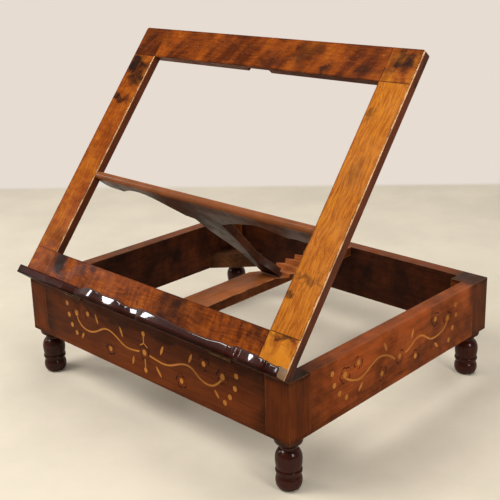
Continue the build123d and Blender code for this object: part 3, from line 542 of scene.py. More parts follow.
class Bench:
    """Lays nodes into a shader tree and joins them."""

    def __init__(self, tree):
        self.tree = tree
        self.column = 0

    def add(self, kind, values=None, **settings):
        """A new node with its settings; values are sockets to join or plain values, by input."""
        node = self.tree.nodes.new(kind)
        node.location = (180 * self.column, -60 * (self.column % 7))
        self.column += 1
        for name, setting in settings.items():
            setattr(node, name, setting)
        for key, value in (values or {}).items():
            if isinstance(value, bpy.types.NodeSocket):
                self.tree.links.new(value, node.inputs[key])
            else:
                node.inputs[key].default_value = value
        return node

    def math(self, operation, first, second=0.0, third=0.0):
        """A number worked out from one to three others."""
        values = {0: first, 1: second, 2: third}
        return self.add("ShaderNodeMath", values, operation=operation).outputs[0]

    def times(self, first, second):
        """One number times another."""
        return self.math("MULTIPLY", first, second)

    def plus(self, first, second):
        """Two numbers added."""
        return self.math("ADD", first, second)

    def minus(self, first, second):
        """One number less another."""
        return self.math("SUBTRACT", first, second)

    def vector(self, operation, first, second=ORIGIN):
        """A vector worked out from one or two others."""
        values = {0: first, 1: second}
        return self.add("ShaderNodeVectorMath", values, operation=operation).outputs[0]

    def length(self, vector):
        """Length of a vector."""
        return self.add("ShaderNodeVectorMath", {0: vector}, operation="LENGTH").outputs["Value"]

    def scaled(self, vector, factor):
        """A vector made longer by a factor."""
        values = {0: vector, "Scale": factor}
        return self.add("ShaderNodeVectorMath", values, operation="SCALE").outputs[0]

    def parts(self, vector):
        """The three parts of a vector."""
        return self.add("ShaderNodeSeparateXYZ", {0: vector}).outputs

    def joined(self, x, y, z):
        """A vector from three parts."""
        return self.add("ShaderNodeCombineXYZ", {0: x, 1: y, 2: z}).outputs[0]

    def noise(self, place, scale, detail=2.0, roughness=0.5, bend=0.0):
        """Cloudy noise, as a number about one half."""
        values = {"Vector": place, "Scale": scale, "Detail": detail, "Roughness": roughness}
        return self.add("ShaderNodeTexNoise", {**values, "Distortion": bend}).outputs[0]

    def push(self, place, scale, detail=2.0):
        """A push to one side or another, from cloudy noise in three parts less one half each."""
        values = {"Vector": place, "Scale": scale, "Detail": detail}
        cloudy = self.add("ShaderNodeTexNoise", values).outputs[1]
        return self.vector("SUBTRACT", cloudy, (0.5, 0.5, 0.5))

    def ease(self, value, low, high, start=0.0, end=1.0):
        """A smooth step from start to end while the value goes from low to high."""
        values = {0: value, 1: low, 2: high, 3: start, 4: end}
        return self.add("ShaderNodeMapRange", values, interpolation_type="SMOOTHSTEP").outputs[0]

    def mix(self, factor, first, second, blend="MIX"):
        """Two colours mixed."""
        values = {0: factor, 6: first, 7: second}
        return self.add("ShaderNodeMix", values, data_type="RGBA", blend_type=blend).outputs[2]

    def lay(self, colour, shade, mask, strength=1.0):
        """A colour with a shade laid over it where the mask is, by up to the strength."""
        if strength != 1.0:
            mask = self.times(mask, strength)
        return self.mix(mask, colour, opaque(shade))

    def ramp(self, value, stops):
        """A colour taken from stops of (place, colour)."""
        node = self.add("ShaderNodeValToRGB", {0: value})
        stones = node.color_ramp.elements
        while len(stones) < len(stops):
            stones.new(0.5)
        for stone, (at, colour) in zip(stones, stops):
            stone.position = at
            stone.color = opaque(colour)
        return node.outputs[0]

    def group(self, effect, **values):
        """A shared effect with its own values; a space in an input's name is an underscore here."""
        named = {name.replace("_", " "): value for name, value in values.items()}
        return self.add("ShaderNodeGroup", named, node_tree=GROUPS[effect]).outputs

    def place(self, middle, turn):
        """Object coordinates, centred on a place and turned to a piece's own lie."""
        coordinates = self.add("ShaderNodeTexCoord").outputs["Object"]
        values = {"Vector": coordinates, "Location": tuple(middle), "Rotation": tuple(turn)}
        return self.add("ShaderNodeMapping", values, vector_type="TEXTURE").outputs[0]


def begin_group(name, inputs, outputs):
    """An empty node group with its sockets, and a bench to fill it."""
    tree = bpy.data.node_groups.new(name, "ShaderNodeTree")
    for label, default in inputs.items():
        kind = "NodeSocketVector" if isinstance(default, tuple) else "NodeSocketFloat"
        tree.interface.new_socket(label, in_out="INPUT", socket_type=kind).default_value = default
    for label in outputs:
        tree.interface.new_socket(label, in_out="OUTPUT", socket_type="NodeSocketFloat")
    bench = Bench(tree)
    return tree, bench, bench.add("NodeGroupInput").outputs


def end_group(bench, **masks):
    """Joins the masks to the group's outputs."""
    bench.add("NodeGroupOutput", {name.replace("_", " "): mask for name, mask in masks.items()})


def make_wood_grain():
    """Straight grain along local X: broad bands, fine streaks and short dark pores."""
    inputs = {"Place": ORIGIN, "Shift": ORIGIN, "Along": 6.0, "Across": 90.0, "Wander": 0.004}
    tree, bench, given = begin_group("wood grain", inputs, ("Bands", "Streaks", "Pores"))
    place = bench.vector("ADD", given["Place"], given["Shift"])
    sway = bench.scaled(bench.push(place, 9.0), given["Wander"])
    place = bench.vector("ADD", place, sway)
    stretch = bench.joined(given["Along"], given["Across"], given["Across"])
    fine = bench.vector("MULTIPLY", place, stretch)
    bands = bench.noise(bench.scaled(fine, 0.3), 1.0, 3.0, 0.55, 0.6)
    streaks = bench.noise(fine, 3.0, 4.0, 0.62)
    pores = bench.noise(bench.vector("MULTIPLY", fine, (5.0, 9.0, 9.0)), 1.0, 2.0, 0.6)
    bands, streaks = bench.ease(bands, 0.3, 0.7), bench.ease(streaks, 0.28, 0.72)
    end_group(bench, Bands=bands, Streaks=streaks, Pores=bench.ease(pores, 0.62, 0.74))
    return tree


def make_veneer_figure():
    """Figured veneer: slow clouds, ripples square to the grain, and fine dark flecks."""
    inputs = {"Place": ORIGIN, "Shift": ORIGIN, "Cloud": 22.0, "Ripple": 120.0, "Slant": 0.0}
    tree, bench, given = begin_group("veneer figure", inputs, ("Clouds", "Ripples", "Flecks"))
    place = bench.vector("ADD", given["Place"], given["Shift"])
    sway = bench.push(place, 26.0, 3.0)
    swayed = bench.vector("ADD", place, bench.scaled(sway, 0.022))
    clouds = bench.noise(swayed, given["Cloud"], 5.0, 0.62, 0.5)
    x, y, z = bench.parts(bench.vector("ADD", place, bench.scaled(sway, 0.010)))
    leaning = bench.plus(x, bench.times(y, given["Slant"]))
    across = bench.times(y, 0.22)
    ripples = bench.noise(bench.joined(leaning, across, z), given["Ripple"], 3.0, 0.6)
    flecks = bench.noise(bench.vector("MULTIPLY", place, (260.0, 620.0, 620.0)), 1.0, 2.0, 0.65)
    clouds, ripples = bench.ease(clouds, 0.28, 0.72), bench.ease(ripples, 0.3, 0.7)
    end_group(bench, Clouds=clouds, Ripples=ripples, Flecks=bench.ease(flecks, 0.58, 0.72))
    return tree


def make_edge_distance():
    """Distance from a face of a box to its nearest edge.

    With a, b and c the distances of a place inside a box from its three pairs of faces, the least
    is nil on a face, and the middle one is the way to the nearest edge.
    """
    inputs = {"Place": ORIGIN, "Half Size": (0.1, 0.1, 0.1)}
    tree, bench, given = begin_group("edge distance", inputs, ("Distance",))
    inside = bench.vector("SUBTRACT", given["Half Size"], bench.vector("ABSOLUTE", given["Place"]))
    a, b, c = bench.parts(inside)
    low, high = bench.math("MINIMUM", a, b), bench.math("MAXIMUM", a, b)
    end_group(bench, Distance=bench.math("MAXIMUM", low, bench.math("MINIMUM", high, c)))
    return tree


def make_edge_wear_and_highlight():
    """Edges made light in runs of uneven width, from the distance to the nearest edge: worn bare
    wood, and a painted highlight along the arris.
    """
    inputs = {"Place": ORIGIN, "Distance": 1.0, "Width": 0.001, "Amount": 1.0}
    tree, bench, given = begin_group("edge wear", inputs, ("Wear",))
    runs = bench.ease(bench.noise(given["Place"], 38.0, 3.0, 0.6), 0.34, 0.62)
    nicks = bench.ease(bench.noise(given["Place"], 420.0, 2.0), 0.35, 0.75, 0.55, 1.5)
    width = bench.times(given["Width"], bench.times(nicks, bench.plus(runs, 0.35)))
    bare = bench.ease(bench.minus(given["Distance"], width), -0.0002, 0.0004, 1.0, 0.0)
    strength = bench.times(bench.plus(bench.times(runs, 0.6), 0.4), given["Amount"])
    end_group(bench, Wear=bench.times(bare, strength))
    return tree


def make_handling():
    """Marks of use in the polish: dull smudges, fine scratches and small dents."""
    inputs = {"Place": ORIGIN, "Shift": ORIGIN}
    tree, bench, given = begin_group("handling", inputs, ("Smudges", "Scratches", "Specks"))
    place = bench.vector("ADD", given["Place"], given["Shift"])
    smudges = bench.ease(bench.noise(place, 30.0, 4.0, 0.6), 0.35, 0.7)
    values = {"Vector": place, "Rotation": (0.3, 0.5, 0.7)}
    slanted = bench.add("ShaderNodeMapping", values).outputs[0]
    first = bench.noise(bench.vector("MULTIPLY", slanted, (30.0, 1500.0, 900.0)), 1.0, 1.0)
    second = bench.noise(bench.vector("MULTIPLY", place, (45.0, 1300.0, 1300.0)), 1.0, 1.0)
    both = bench.math("MAXIMUM", bench.ease(first, 0.72, 0.78), bench.ease(second, 0.73, 0.79))
    specks = bench.ease(bench.noise(place, 520.0, 1.0), 0.72, 0.8)
    end_group(bench, Smudges=smudges, Scratches=both, Specks=specks)
    return tree


def make_mark():
    """A dark mark with a ragged edge, about an ellipse with its middle and half size."""
    inputs = {"Place": ORIGIN, "Middle": ORIGIN, "Half Size": (0.01, 0.01, 1.0), "Strength": 1.0}
    tree, bench, given = begin_group("mark", inputs, ("Mark",))
    ragged = bench.scaled(bench.push(given["Place"], 70.0, 5.0), 0.03)
    place = bench.vector("ADD", given["Place"], ragged)
    away = bench.vector("SUBTRACT", place, given["Middle"])
    away = bench.vector("DIVIDE", away, given["Half Size"])
    end_group(bench, Mark=bench.ease(bench.length(away), 0.45, 1.35, given["Strength"], 0.0))
    return tree


def make_scribed_petals():
    """Petals scribed round a flower in a rail's face: a thin dark line, in places worn away.

    At an angle a round the flower's middle the line lies r (0.78 + 0.22 |sin 2.5 a|) away from it,
    so it goes round five petals.
    """
    inputs = {"Place": ORIGIN, "Middle": ORIGIN, "Radius": 0.006, "Width": 0.0003}
    tree, bench, given = begin_group("scribed petals", inputs, ("Line",))
    x, _, z = bench.parts(bench.vector("SUBTRACT", given["Place"], given["Middle"]))
    away = bench.length(bench.joined(x, 0.0, z))
    turn = bench.times(bench.math("ARCTAN2", z, x), 2.5)
    waves = bench.math("ABSOLUTE", bench.math("SINE", turn))
    rim = bench.times(given["Radius"], bench.math("MULTIPLY_ADD", waves, 0.22, 0.78))
    off = bench.math("ABSOLUTE", bench.minus(away, rim))
    line = bench.ease(bench.math("DIVIDE", off, given["Width"]), 0.4, 1.6, 1.0, 0.0)
    kept = bench.ease(bench.noise(given["Place"], 130.0, 2.0), 0.4, 0.56)
    end_group(bench, Line=bench.times(line, kept))
    return tree


# The shared effects' node groups, by name
GROUPS = {}


def make_groups():
    """The shared effects, built once."""
    if not GROUPS:
        GROUPS["grain"] = make_wood_grain()
        GROUPS["figure"] = make_veneer_figure()
        GROUPS["edge"] = make_edge_distance()
        GROUPS["wear_and_highlight"] = make_edge_wear_and_highlight()
        GROUPS["handling"] = make_handling()
        GROUPS["mark"] = make_mark()
        GROUPS["petals"] = make_scribed_petals()


def new_material(name):
    """An empty material with a bench, its surface shader and nothing joined yet."""
    material = bpy.data.materials.new(name)
    material.use_nodes = True
    material.node_tree.nodes.clear()
    bench = Bench(material.node_tree)
    shader = bench.add("ShaderNodeBsdfPrincipled")
    bench.add("ShaderNodeOutputMaterial", {"Surface": shader.outputs[0]})
    return material, bench, shader


def shift_for(name):
    """A shift of the pattern that is different for every piece, worked out from its name."""
    total = sum((place + 1) * ord(letter) for place, letter in enumerate(name))
    return (total % 97 * 0.137, total % 89 * 0.211, total % 83 * 0.173)


def join_surface(bench, shader, colour, rough, height, strength, distance, **constants):
    """Joins a finish's colour, roughness and relief to its shader and sets its constants."""
    values = {"Strength": strength, "Distance": distance, "Height": height}
    bump = bench.add("ShaderNodeBump", values)
    bench.tree.links.new(colour, shader.inputs["Base Color"])
    bench.tree.links.new(rough, shader.inputs["Roughness"])
    bench.tree.links.new(bump.outputs[0], shader.inputs["Normal"])
    for name, value in constants.items():
        shader.inputs[name.replace("_", " ")].default_value = value


def give(node, material):
    """Gives a new piece, or a packed one by its node's name, one material in place of its own."""
    piece = frame["nodes"][node] if isinstance(node, str) else node
    piece.data.materials.clear()
    piece.data.materials.append(material)


def local_box(node, turn):
    """Middle in the stand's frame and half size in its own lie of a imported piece."""
    mesh = frame["nodes"][node].data
    points = np.empty(len(mesh.vertices) * 3, np.float32)
    mesh.vertices.foreach_get("co", points)
    matrix = np.array(Euler(turn).to_matrix())
    local = points.reshape(-1, 3).astype(float) @ matrix
    low, high = local.min(0), local.max(0)
    return Vector(matrix @ ((low + high) / 2)), tuple((high - low) / 2)


def ease_arrises(node, width):
    """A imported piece's sharp edges get a small worn bevel; its mesh itself stays as it is."""
    piece = frame["nodes"][node]
    merge = piece.modifiers.new("merge", "WELD")
    merge.merge_threshold = MERGE_DISTANCE
    bevel = piece.modifiers.new("arris", "BEVEL")
    bevel.width = width
    bevel.segments = 2
    bevel.limit_method = "ANGLE"
    bevel.angle_limit = radians(40)
    bevel.use_clamp_overlap = True
    bevel.harden_normals = False


# ---------------------------------------------------------------- finishes


def polished_wood(name, middle, turn, half_size, look):
    """Walnut with straight grain, pores, worn edges that also carry a painted highlight, darker
    ends and a handled polish.

    look holds the dark, light and worn colours and, where they differ from the usual:
    - along, across: how often the grain changes along and across the piece
    - contrast, mottle: the grain's strength; the clouds' scale, darkest and lightest
    - wear, bare: how wide the light edges are and how light, as worn wood and a painted highlight
    - end_dirt: how far dirt reaches in from the ends
    - faces: single faces with a colour of their own, by axis, side, shade, strength and depth; on
      some pieces this colour is painted shade
    - shadows: soft dark marks, by middle, half size and strength
    - flowers, outward: scribed petals, by place along and up, radius and line; their side
    - gloss, shine: least and greatest roughness; how strongly the wood itself reflects
    - coat, coat_rough, glossy_from: the polish, and along which axes it begins, from where to where
    """
    material, bench, shader = new_material(name)
    place = bench.place(middle, turn)
    shift = shift_for(name)
    grain = bench.group(
        "grain", Place=place, Shift=shift,
        Along=look.get("along", 6.0), Across=look.get("across", 90.0), Wander=0.01,
    )
    handling = bench.group("handling", Place=place, Shift=shift)
    dark, light, worn = Vector(look["dark"]), Vector(look["light"]), look["worn"]
    tone = bench.plus(bench.times(grain["Bands"], 0.55), bench.times(grain["Streaks"], 0.45))
    tone = bench.math("MULTIPLY_ADD", bench.minus(tone, 0.5), look.get("contrast", 0.6), 0.5)
    dusk, glow = dark.lerp(light, 0.3), dark.lerp(light, 0.72)
    colour = bench.ramp(tone, [(0.0, dark * 0.75), (0.3, dusk), (0.65, glow), (1.0, light)])
    cloud, low, high = look.get("mottle", (14.0, 0.72, 1.18))
    mottle = bench.noise(bench.vector("ADD", place, shift), cloud, 5.0, 0.64)
    mottle = bench.ease(mottle, 0.3, 0.7, low, high)
    colour = bench.mix(1.0, colour, bench.joined(mottle, mottle, mottle), "MULTIPLY")
    distance = bench.group("edge", Place=place, Half_Size=half_size)["Distance"]
    wear_and_highlight = bench.group(
        "wear_and_highlight", Place=place, Distance=distance,
        Width=look.get("wear_and_highlight", 0.0007), Amount=look.get("bare", 0.8),
    )["Wear"]
    x, y, z = bench.parts(place)
    from_end = bench.minus(half_size[0], bench.math("ABSOLUTE", x))
    dirt_noise = bench.ease(bench.noise(place, 45.0, 3.0), 0.2, 0.8, 0.3, 1.5)
    dirt = bench.ease(from_end, 0.0, look.get("end_dirt", 0.02), 0.75, 0.0)
    colour = bench.lay(colour, dark * 0.55, bench.times(dirt, dirt_noise))
    for axis, side, shade, strength, depth in look.get("faces", ()):
        part = bench.times((x, y, z)[axis], side)
        on_face = bench.ease(part, half_size[axis] - depth, half_size[axis] - depth * 0.2)
        spread = bench.noise(place, 26.0, 5.0, 0.65)
        spread = bench.ease(spread, 0.25, 0.75, strength * 0.7, min(1.0, strength * 1.25))
        toned = bench.mix(0.35 * (1 - strength), opaque(shade), colour)
        colour = bench.mix(bench.times(on_face, spread), colour, toned)
    for centre, size, strength in look.get("shadows", ()):
        mark = bench.group("mark", Place=place, Middle=centre, Half_Size=size, Strength=strength)
        colour = bench.lay(colour, dark * 0.5, mark["Mark"])
    scribed = 0.0
    for along, up, radius, width in look.get("flowers", ()):
        line = bench.group(
            "petals", Place=place, Middle=(along, 0.0, up), Radius=radius, Width=width,
        )["Line"]
        scribed = bench.math("MAXIMUM", line, scribed)
    if look.get("flowers"):
        outward = bench.times(y, look["outward"])
        on_outside = bench.ease(outward, half_size[1] - 0.0006, half_size[1] - 0.0002)
        scribed = bench.times(scribed, on_outside)
        colour = bench.lay(colour, dark * 0.2, scribed, 0.9)
    colour = bench.lay(colour, dark * 0.45, grain["Pores"], 0.55)
    colour = bench.lay(colour, worn, handling["Scratches"], 0.16)
    # Lighter edges: worn wood, and a painted highlight along the arris
    colour = bench.lay(colour, worn, wear_and_highlight)
    low, high = look.get("gloss", (0.3, 0.5))
    rough = bench.ease(handling["Smudges"], 0.0, 1.0, low, high)
    rough = bench.plus(rough, bench.times(wear_and_highlight, 0.2))
    relief = bench.minus(bench.times(grain["Streaks"], 0.35), grain["Pores"])
    relief = bench.minus(relief, bench.times(handling["Scratches"], 0.5))
    relief = bench.minus(relief, scribed)
    join_surface(
        bench, shader, colour, rough, relief, 0.35, 0.0002,
        Specular_IOR_Level=look.get("shine", 0.04), Coat_Weight=look.get("coat", 0.0),
        Coat_Roughness=look.get("coat_rough", 0.16),
    )
    if "glossy_from" in look:
        glossy = look["coat"]
        for axis, start, end in look["glossy_from"]:
            glossy = bench.times(bench.ease((x, y, z)[axis], start, end), glossy)
        bench.tree.links.new(glossy, shader.inputs["Coat Weight"])
    return material


def figured_veneer(name, node, turn, colours, look):
    """Figured walnut veneer with clouds, ripples, flecks, marks, dirty joints and a light arris,
    worn and with a painted highlight.

    The face is soiled along the frame's outline and its opening, and dark where two pieces of
    veneer meet. look holds the marks, the figure's level and contrast and, where they differ from
    the usual:
    - cloud, ripple, slant: how often the clouds and the ripples change; the ripples' lean
    - cloud_share, ripple_share: how much of the figure they make; the fine grain makes the rest
    - flecks, joint: strength of the dark flecks and of the dark joints
    - rubbed: place across the frame of an arris that is made light, as worn wood and a painted
      highlight
    """
    gold, orange, brown, mark_colour = (Vector(colour) for colour in colours[:4])
    worn = colours[4]
    material, bench, shader = new_material(name)
    middle, half_size = local_box(node, turn)
    place = bench.place(middle, turn)
    shift = shift_for(name)
    figure = bench.group(
        "figure", Place=place, Shift=shift, Cloud=look.get("cloud", 22.0),
        Ripple=look.get("ripple", 120.0), Slant=look.get("slant", 0.0),
    )
    clouds, ripples = figure["Clouds"], figure["Ripples"]
    grain = bench.group("grain", Place=place, Shift=shift, Along=14.0, Across=130.0, Wander=0.03)
    handling = bench.group("handling", Place=place, Shift=shift)
    ripple_share, cloud_share = look.get("ripple_share", 0.35), look.get("cloud_share", 0.45)
    tone = bench.times(ripples, ripple_share)
    tone = bench.math("MULTIPLY_ADD", clouds, cloud_share, tone)
    tone = bench.math("MULTIPLY_ADD", grain["Streaks"], 1 - ripple_share - cloud_share, tone)
    tone = bench.math("MULTIPLY_ADD", bench.minus(tone, 0.5), look["contrast"], look["level"])
    bright = orange.lerp(gold, 0.75)
    stops = [(0.05, brown * 0.5), (0.3, brown), (0.52, orange), (0.8, bright), (1.0, gold)]
    colour = bench.ramp(tone, stops)

    whole = bench.place(FRAME_HINGE, (FRAME_ANGLE, 0.0, 0.0))
    for x, up, half_x, half_up, strength in look["marks"]:
        mark = bench.group(
            "mark", Place=whole, Middle=(x, up, FRAME_FRONT),
            Half_Size=(half_x, half_up, 1.0), Strength=strength,
        )["Mark"]
        streaky = bench.times(mark, bench.ease(clouds, 0.0, 1.0, 1.0, 0.45))
        colour = bench.lay(colour, mark_colour, streaky)
    x, up, _ = bench.parts(whole)
    side = bench.math("ABSOLUTE", x)
    to_top = bench.math("MINIMUM", up, bench.minus(FRAME_LENGTH, up))
    to_outside = bench.math("MINIMUM", bench.minus(FRAME_HALF_WIDTH, side), to_top)
    past_side = bench.minus(side, OPENING_HALF_WIDTH)
    past_end = bench.math("MAXIMUM", bench.minus(up, OPENING_HIGH), bench.minus(OPENING_LOW, up))
    to_opening = bench.math("MAXIMUM", past_side, past_end)
    to_rim = bench.math("MINIMUM", to_outside, to_opening)
    near_rim = bench.ease(to_rim, 0.0004, 0.003, 0.75, 0.0)
    soiled = bench.times(near_rim, bench.ease(clouds, 0.0, 1.0, 1.0, 0.4))
    colour = bench.lay(colour, brown * 0.4, soiled)

    to_edge = bench.group("edge", Place=place, Half_Size=half_size)["Distance"]
    joint = bench.ease(to_edge, 0.0003, 0.0011, look.get("joint", 0.8), 0.0)
    joint = bench.times(joint, bench.ease(to_rim, 0.0005, 0.002))
    colour = bench.lay(colour, mark_colour * 0.6, joint)
    kept = bench.ease(clouds, 0.2, 0.8, look.get("flecks", 0.5), 0.2)
    colour = bench.lay(colour, brown * 0.5, bench.times(figure["Flecks"], kept))
    colour = bench.lay(colour, worn, handling["Scratches"], 0.15)
    colour = bench.lay(colour, worn, handling["Specks"], 0.3)
    # A pale line along one arris: worn wood, and a painted highlight
    if "rubbed_and_highlit" in look:
        to_arris = bench.math("ABSOLUTE", bench.minus(x, look["rubbed_and_highlit"]))
        wear_and_highlight = bench.group("wear_and_highlight", Place=place, Distance=to_arris, Width=0.0011, Amount=0.95)
        colour = bench.lay(colour, worn, wear_and_highlight["Wear"])
    rough = bench.ease(handling["Smudges"], 0.0, 1.0, 0.24, 0.42)
    relief = bench.plus(bench.times(figure["Flecks"], -0.6), bench.times(ripples, 0.25))
    join_surface(bench, shader, colour, rough, relief, 0.3, 0.0002, Specular_IOR_Level=0.02)
    return material


def inlaid_wood(name, turn, finish):
    """Light inlay wood: fine grain, golden with age, darker where dirt has caught."""
    material, bench, shader = new_material(name)
    place = bench.place(ORIGIN, turn)
    shift = shift_for(name)
    grain = bench.group("grain", Place=place, Shift=shift, Along=60.0, Across=500.0, Wander=0.01)
    handling = bench.group("handling", Place=place, Shift=shift)
    light = Vector(finish.inlay_wood)
    aged = bench.ease(bench.noise(place, 11.0, 3.0, 0.6), 0.3, 0.7)
    colour = bench.ramp(aged, [(0.0, light * 0.52), (0.45, light * 0.85), (1.0, light * 1.08)])
    colour = bench.lay(colour, light * 0.5, grain["Streaks"], 0.3)
    caught = bench.ease(bench.noise(place, 190.0, 3.0), 0.56, 0.75)
    colour = bench.lay(colour, Vector(finish.walnut_light) * 0.8, caught, 0.6)
    rough = bench.ease(handling["Smudges"], 0.0, 1.0, 0.32, 0.5)
    join_surface(
        bench, shader, colour, rough, grain["Streaks"], 0.25, 0.0001,
        Specular_IOR_Level=0.1, Coat_Weight=0.02, Coat_Roughness=0.18,
    )
    return material


def old_metal(name, colour, dark):
    """Old metal: brown tarnish in clouds over a bright, brushed ground."""
    material, bench, shader = new_material(name)
    place = bench.place(ORIGIN, GRAIN_ALONG_X)
    tarnish = bench.ease(bench.noise(place, 160.0, 5.0, 0.65), 0.35, 0.68)
    brushed = bench.noise(bench.vector("MULTIPLY", place, (120.0, 2600.0, 2600.0)), 1.0, 2.0)
    tint = bench.lay(opaque(colour), dark, tarnish, 0.75)
    rough = bench.plus(bench.ease(tarnish, 0.0, 1.0, 0.26, 0.58), bench.times(brushed, 0.08))
    join_surface(bench, shader, tint, rough, brushed, 0.2, 0.0001, Metallic=1.0)
    return material


# ---------------------------------------------------------------- operators


class StandOperator:
    """What the stand's operators share."""

    bl_options = {"REGISTER", "UNDO"}


class STAND_OT_feet(StandOperator, bpy.types.Operator):
    """Turns the four feet and polishes them nearly black"""

    bl_idname = "stand.feet"
    bl_label = "Turned feet"

    def execute(self, context):
        make_groups()
        shape, finish = context.scene.stand_shape, context.scene.stand_finish
        dowel_radius = 5 * MM
        for corner in CORNERS:
            low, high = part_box(f"{corner}_foot")
            middle = (low + high) / 2
            rows = turned_foot_rows(middle, shape, dowel_radius, high.z)
            piece = closed_skin(f"{corner}_turned_foot", [rows])
            look = {
                "dark": finish.foot_wood, "light": finish.foot_glow, "worn": swatch(120, 70, 44),
                "bare": 0.0, "gloss": (0.3, 0.5), "shine": 0.02, "coat": 0.35, "coat_rough": 0.035,
                "along": 14.0, "across": 160.0, "end_dirt": 0.004,
            }
            centre = Vector((middle.x, middle.y, shape.foot_height / 2))
            half_size = (shape.foot_height / 2, shape.foot_radius, shape.foot_radius)
            polish = polished_wood(f"{corner}_foot_polish", centre, GRAIN_ALONG_Z, half_size, look)
            give(piece, polish)
            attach(piece, "base")
            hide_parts(f"{corner}_foot")
        return {"FINISHED"}


class STAND_OT_base_rails(StandOperator, bpy.types.Operator):
    """Finishes the four rails of the base"""

    bl_idname = "stand.base_rails"
    bl_label = "Base rails"

    def execute(self, context):
        make_groups()
        finish = context.scene.stand_finish
        dark, light = Vector(finish.walnut_dark), Vector(finish.walnut_light)
        inside, faded = finish.walnut_inside, finish.walnut_faded
        calm, lively = (12.0, 0.8, 1.12), (24.0, 0.5, 1.3)
        rails = {
            "front_rail": (GRAIN_ALONG_X, -1, 0.65, 0.2, 0.12, calm, FRONT_FLOWERS, [UNDER_LEDGE]),
            "back_rail": (GRAIN_ALONG_X, 1, 0.95, 0.3, 0.4, calm, (), ()),
            "left_rail": (GRAIN_ALONG_Y, 1, 1.0, 0.6, 0.4, lively, SIDE_FLOWERS, ()),
            "right_rail": (GRAIN_ALONG_Y, -1, 1.2, 0.2, 0.4, lively, SIDE_FLOWERS, ()),
        }
        for node, (turn, outward, tone, fade, bare, mottle, flowers, shadows) in rails.items():
            middle, half_size = local_box(node, turn)
            reach = half_size[0] - RAIL_TENON + POST_SIDE
            look = {
                "dark": dark * tone, "light": light * tone, "worn": finish.walnut_worn,
                # The face inside the rail gets painted shade, nearly black; the top face takes the
                # faded colour
                "faces": [(1, -outward, inside, 0.95, 0.0006), (2, 1, faded, fade, 0.0006)],
                "wear_and_highlight": 0.0005, "bare": bare, "end_dirt": 0.045, "across": 70.0, "mottle": mottle,
                "outward": outward,
                "flowers": [
                    (along * reach, (up - 0.5) * 2 * half_size[2], radius * PETAL_SHARE, PETAL_LINE)
                    for along, up, radius in flowers
                ],
                "shadows": shadows,
            }
            give(node, polished_wood(f"{node}_walnut", middle, turn, half_size, look))
        return {"FINISHED"}


class STAND_OT_corner_pieces(StandOperator, bpy.types.Operator):
    """Finishes the corner posts and the blocks behind them"""

    bl_idname = "stand.corner_pieces"
    bl_label = "Corner posts and blocks"

    def execute(self, context):
        make_groups()
        shape, finish = context.scene.stand_shape, context.scene.stand_finish
        dark, light = Vector(finish.walnut_dark), Vector(finish.walnut_light)
        for corner in CORNERS:
            middle, half_size = local_box(f"{corner}_post", GRAIN_ALONG_Z)
            look = {
                "dark": dark * 0.7, "light": light * 0.62, "worn": finish.walnut_worn,
                "across": 110.0, "wear_and_highlight": 0.0006, "bare": 0.35, "end_dirt": 0.008,
                "faces": [(0, 1, Vector(finish.walnut_faded) * 0.45, 0.5, 0.0006)],
            }
            walnut = polished_wood(f"{corner}_post_walnut", middle, GRAIN_ALONG_Z, half_size, look)
            give(f"{corner}_post", walnut)
            ease_arrises(f"{corner}_post", shape.arris)
            middle, half_size = local_box(f"{corner}_block", GRAIN_ALONG_X)
            look = {
                "dark": Vector(finish.walnut_inside) * 0.9,
                # The blocks' dark grain is painted shade inside the base
                "light": Vector(finish.walnut_worn) * 0.5, "worn": finish.walnut_worn,
                "gloss": (0.55, 0.75), "bare": 0.3,
            }
            wood = polished_wood(f"{corner}_block_wood", middle, GRAIN_ALONG_X, half_size, look)
            give(f"{corner}_block", wood)
            ease_arrises(f"{corner}_block", shape.arris)
        return {"FINISHED"}


class STAND_OT_toothed_bar(StandOperator, bpy.types.Operator):
    """Finishes the toothed bar"""

    bl_idname = "stand.toothed_bar"
    bl_label = "Toothed bar"

    def execute(self, context):
        make_groups()
        shape, finish = context.scene.stand_shape, context.scene.stand_finish
        middle, half_size = local_box("toothed_bar", GRAIN_ALONG_Y)
        light, sides = Vector(finish.bar_wood), Vector(finish.walnut_dark) * 1.1
        look = {
            "dark": light * 0.4, "light": light, "worn": swatch(196, 136, 88), "wear_and_highlight": 0.0006,
            "faces": [(1, side, sides, 0.9, 0.0006) for side in (1, -1)], "end_dirt": 0.012,
        }
        walnut = polished_wood("toothed_bar_walnut", middle, GRAIN_ALONG_Y, half_size, look)
        give("toothed_bar", walnut)
        ease_arrises("toothed_bar", shape.arris * 0.7)
        return {"FINISHED"}


class STAND_OT_inlay(StandOperator, bpy.types.Operator):
    """Finishes the vines, dots and leaves let into the rails"""

    bl_idname = "stand.inlay"
    bl_label = "Inlay"

    def execute(self, context):
        make_groups()
        finish = context.scene.stand_finish
        turns = {"front": GRAIN_ALONG_X, "left": GRAIN_ALONG_Y, "right": GRAIN_ALONG_Y}
        for rail, turn in turns.items():
            for kind in ("vine", "dots", "leaves"):
                give(f"{rail}_inlay_{kind}", inlaid_wood(f"{rail}_{kind}_inlay_wood", turn, finish))
        return {"FINISHED"}


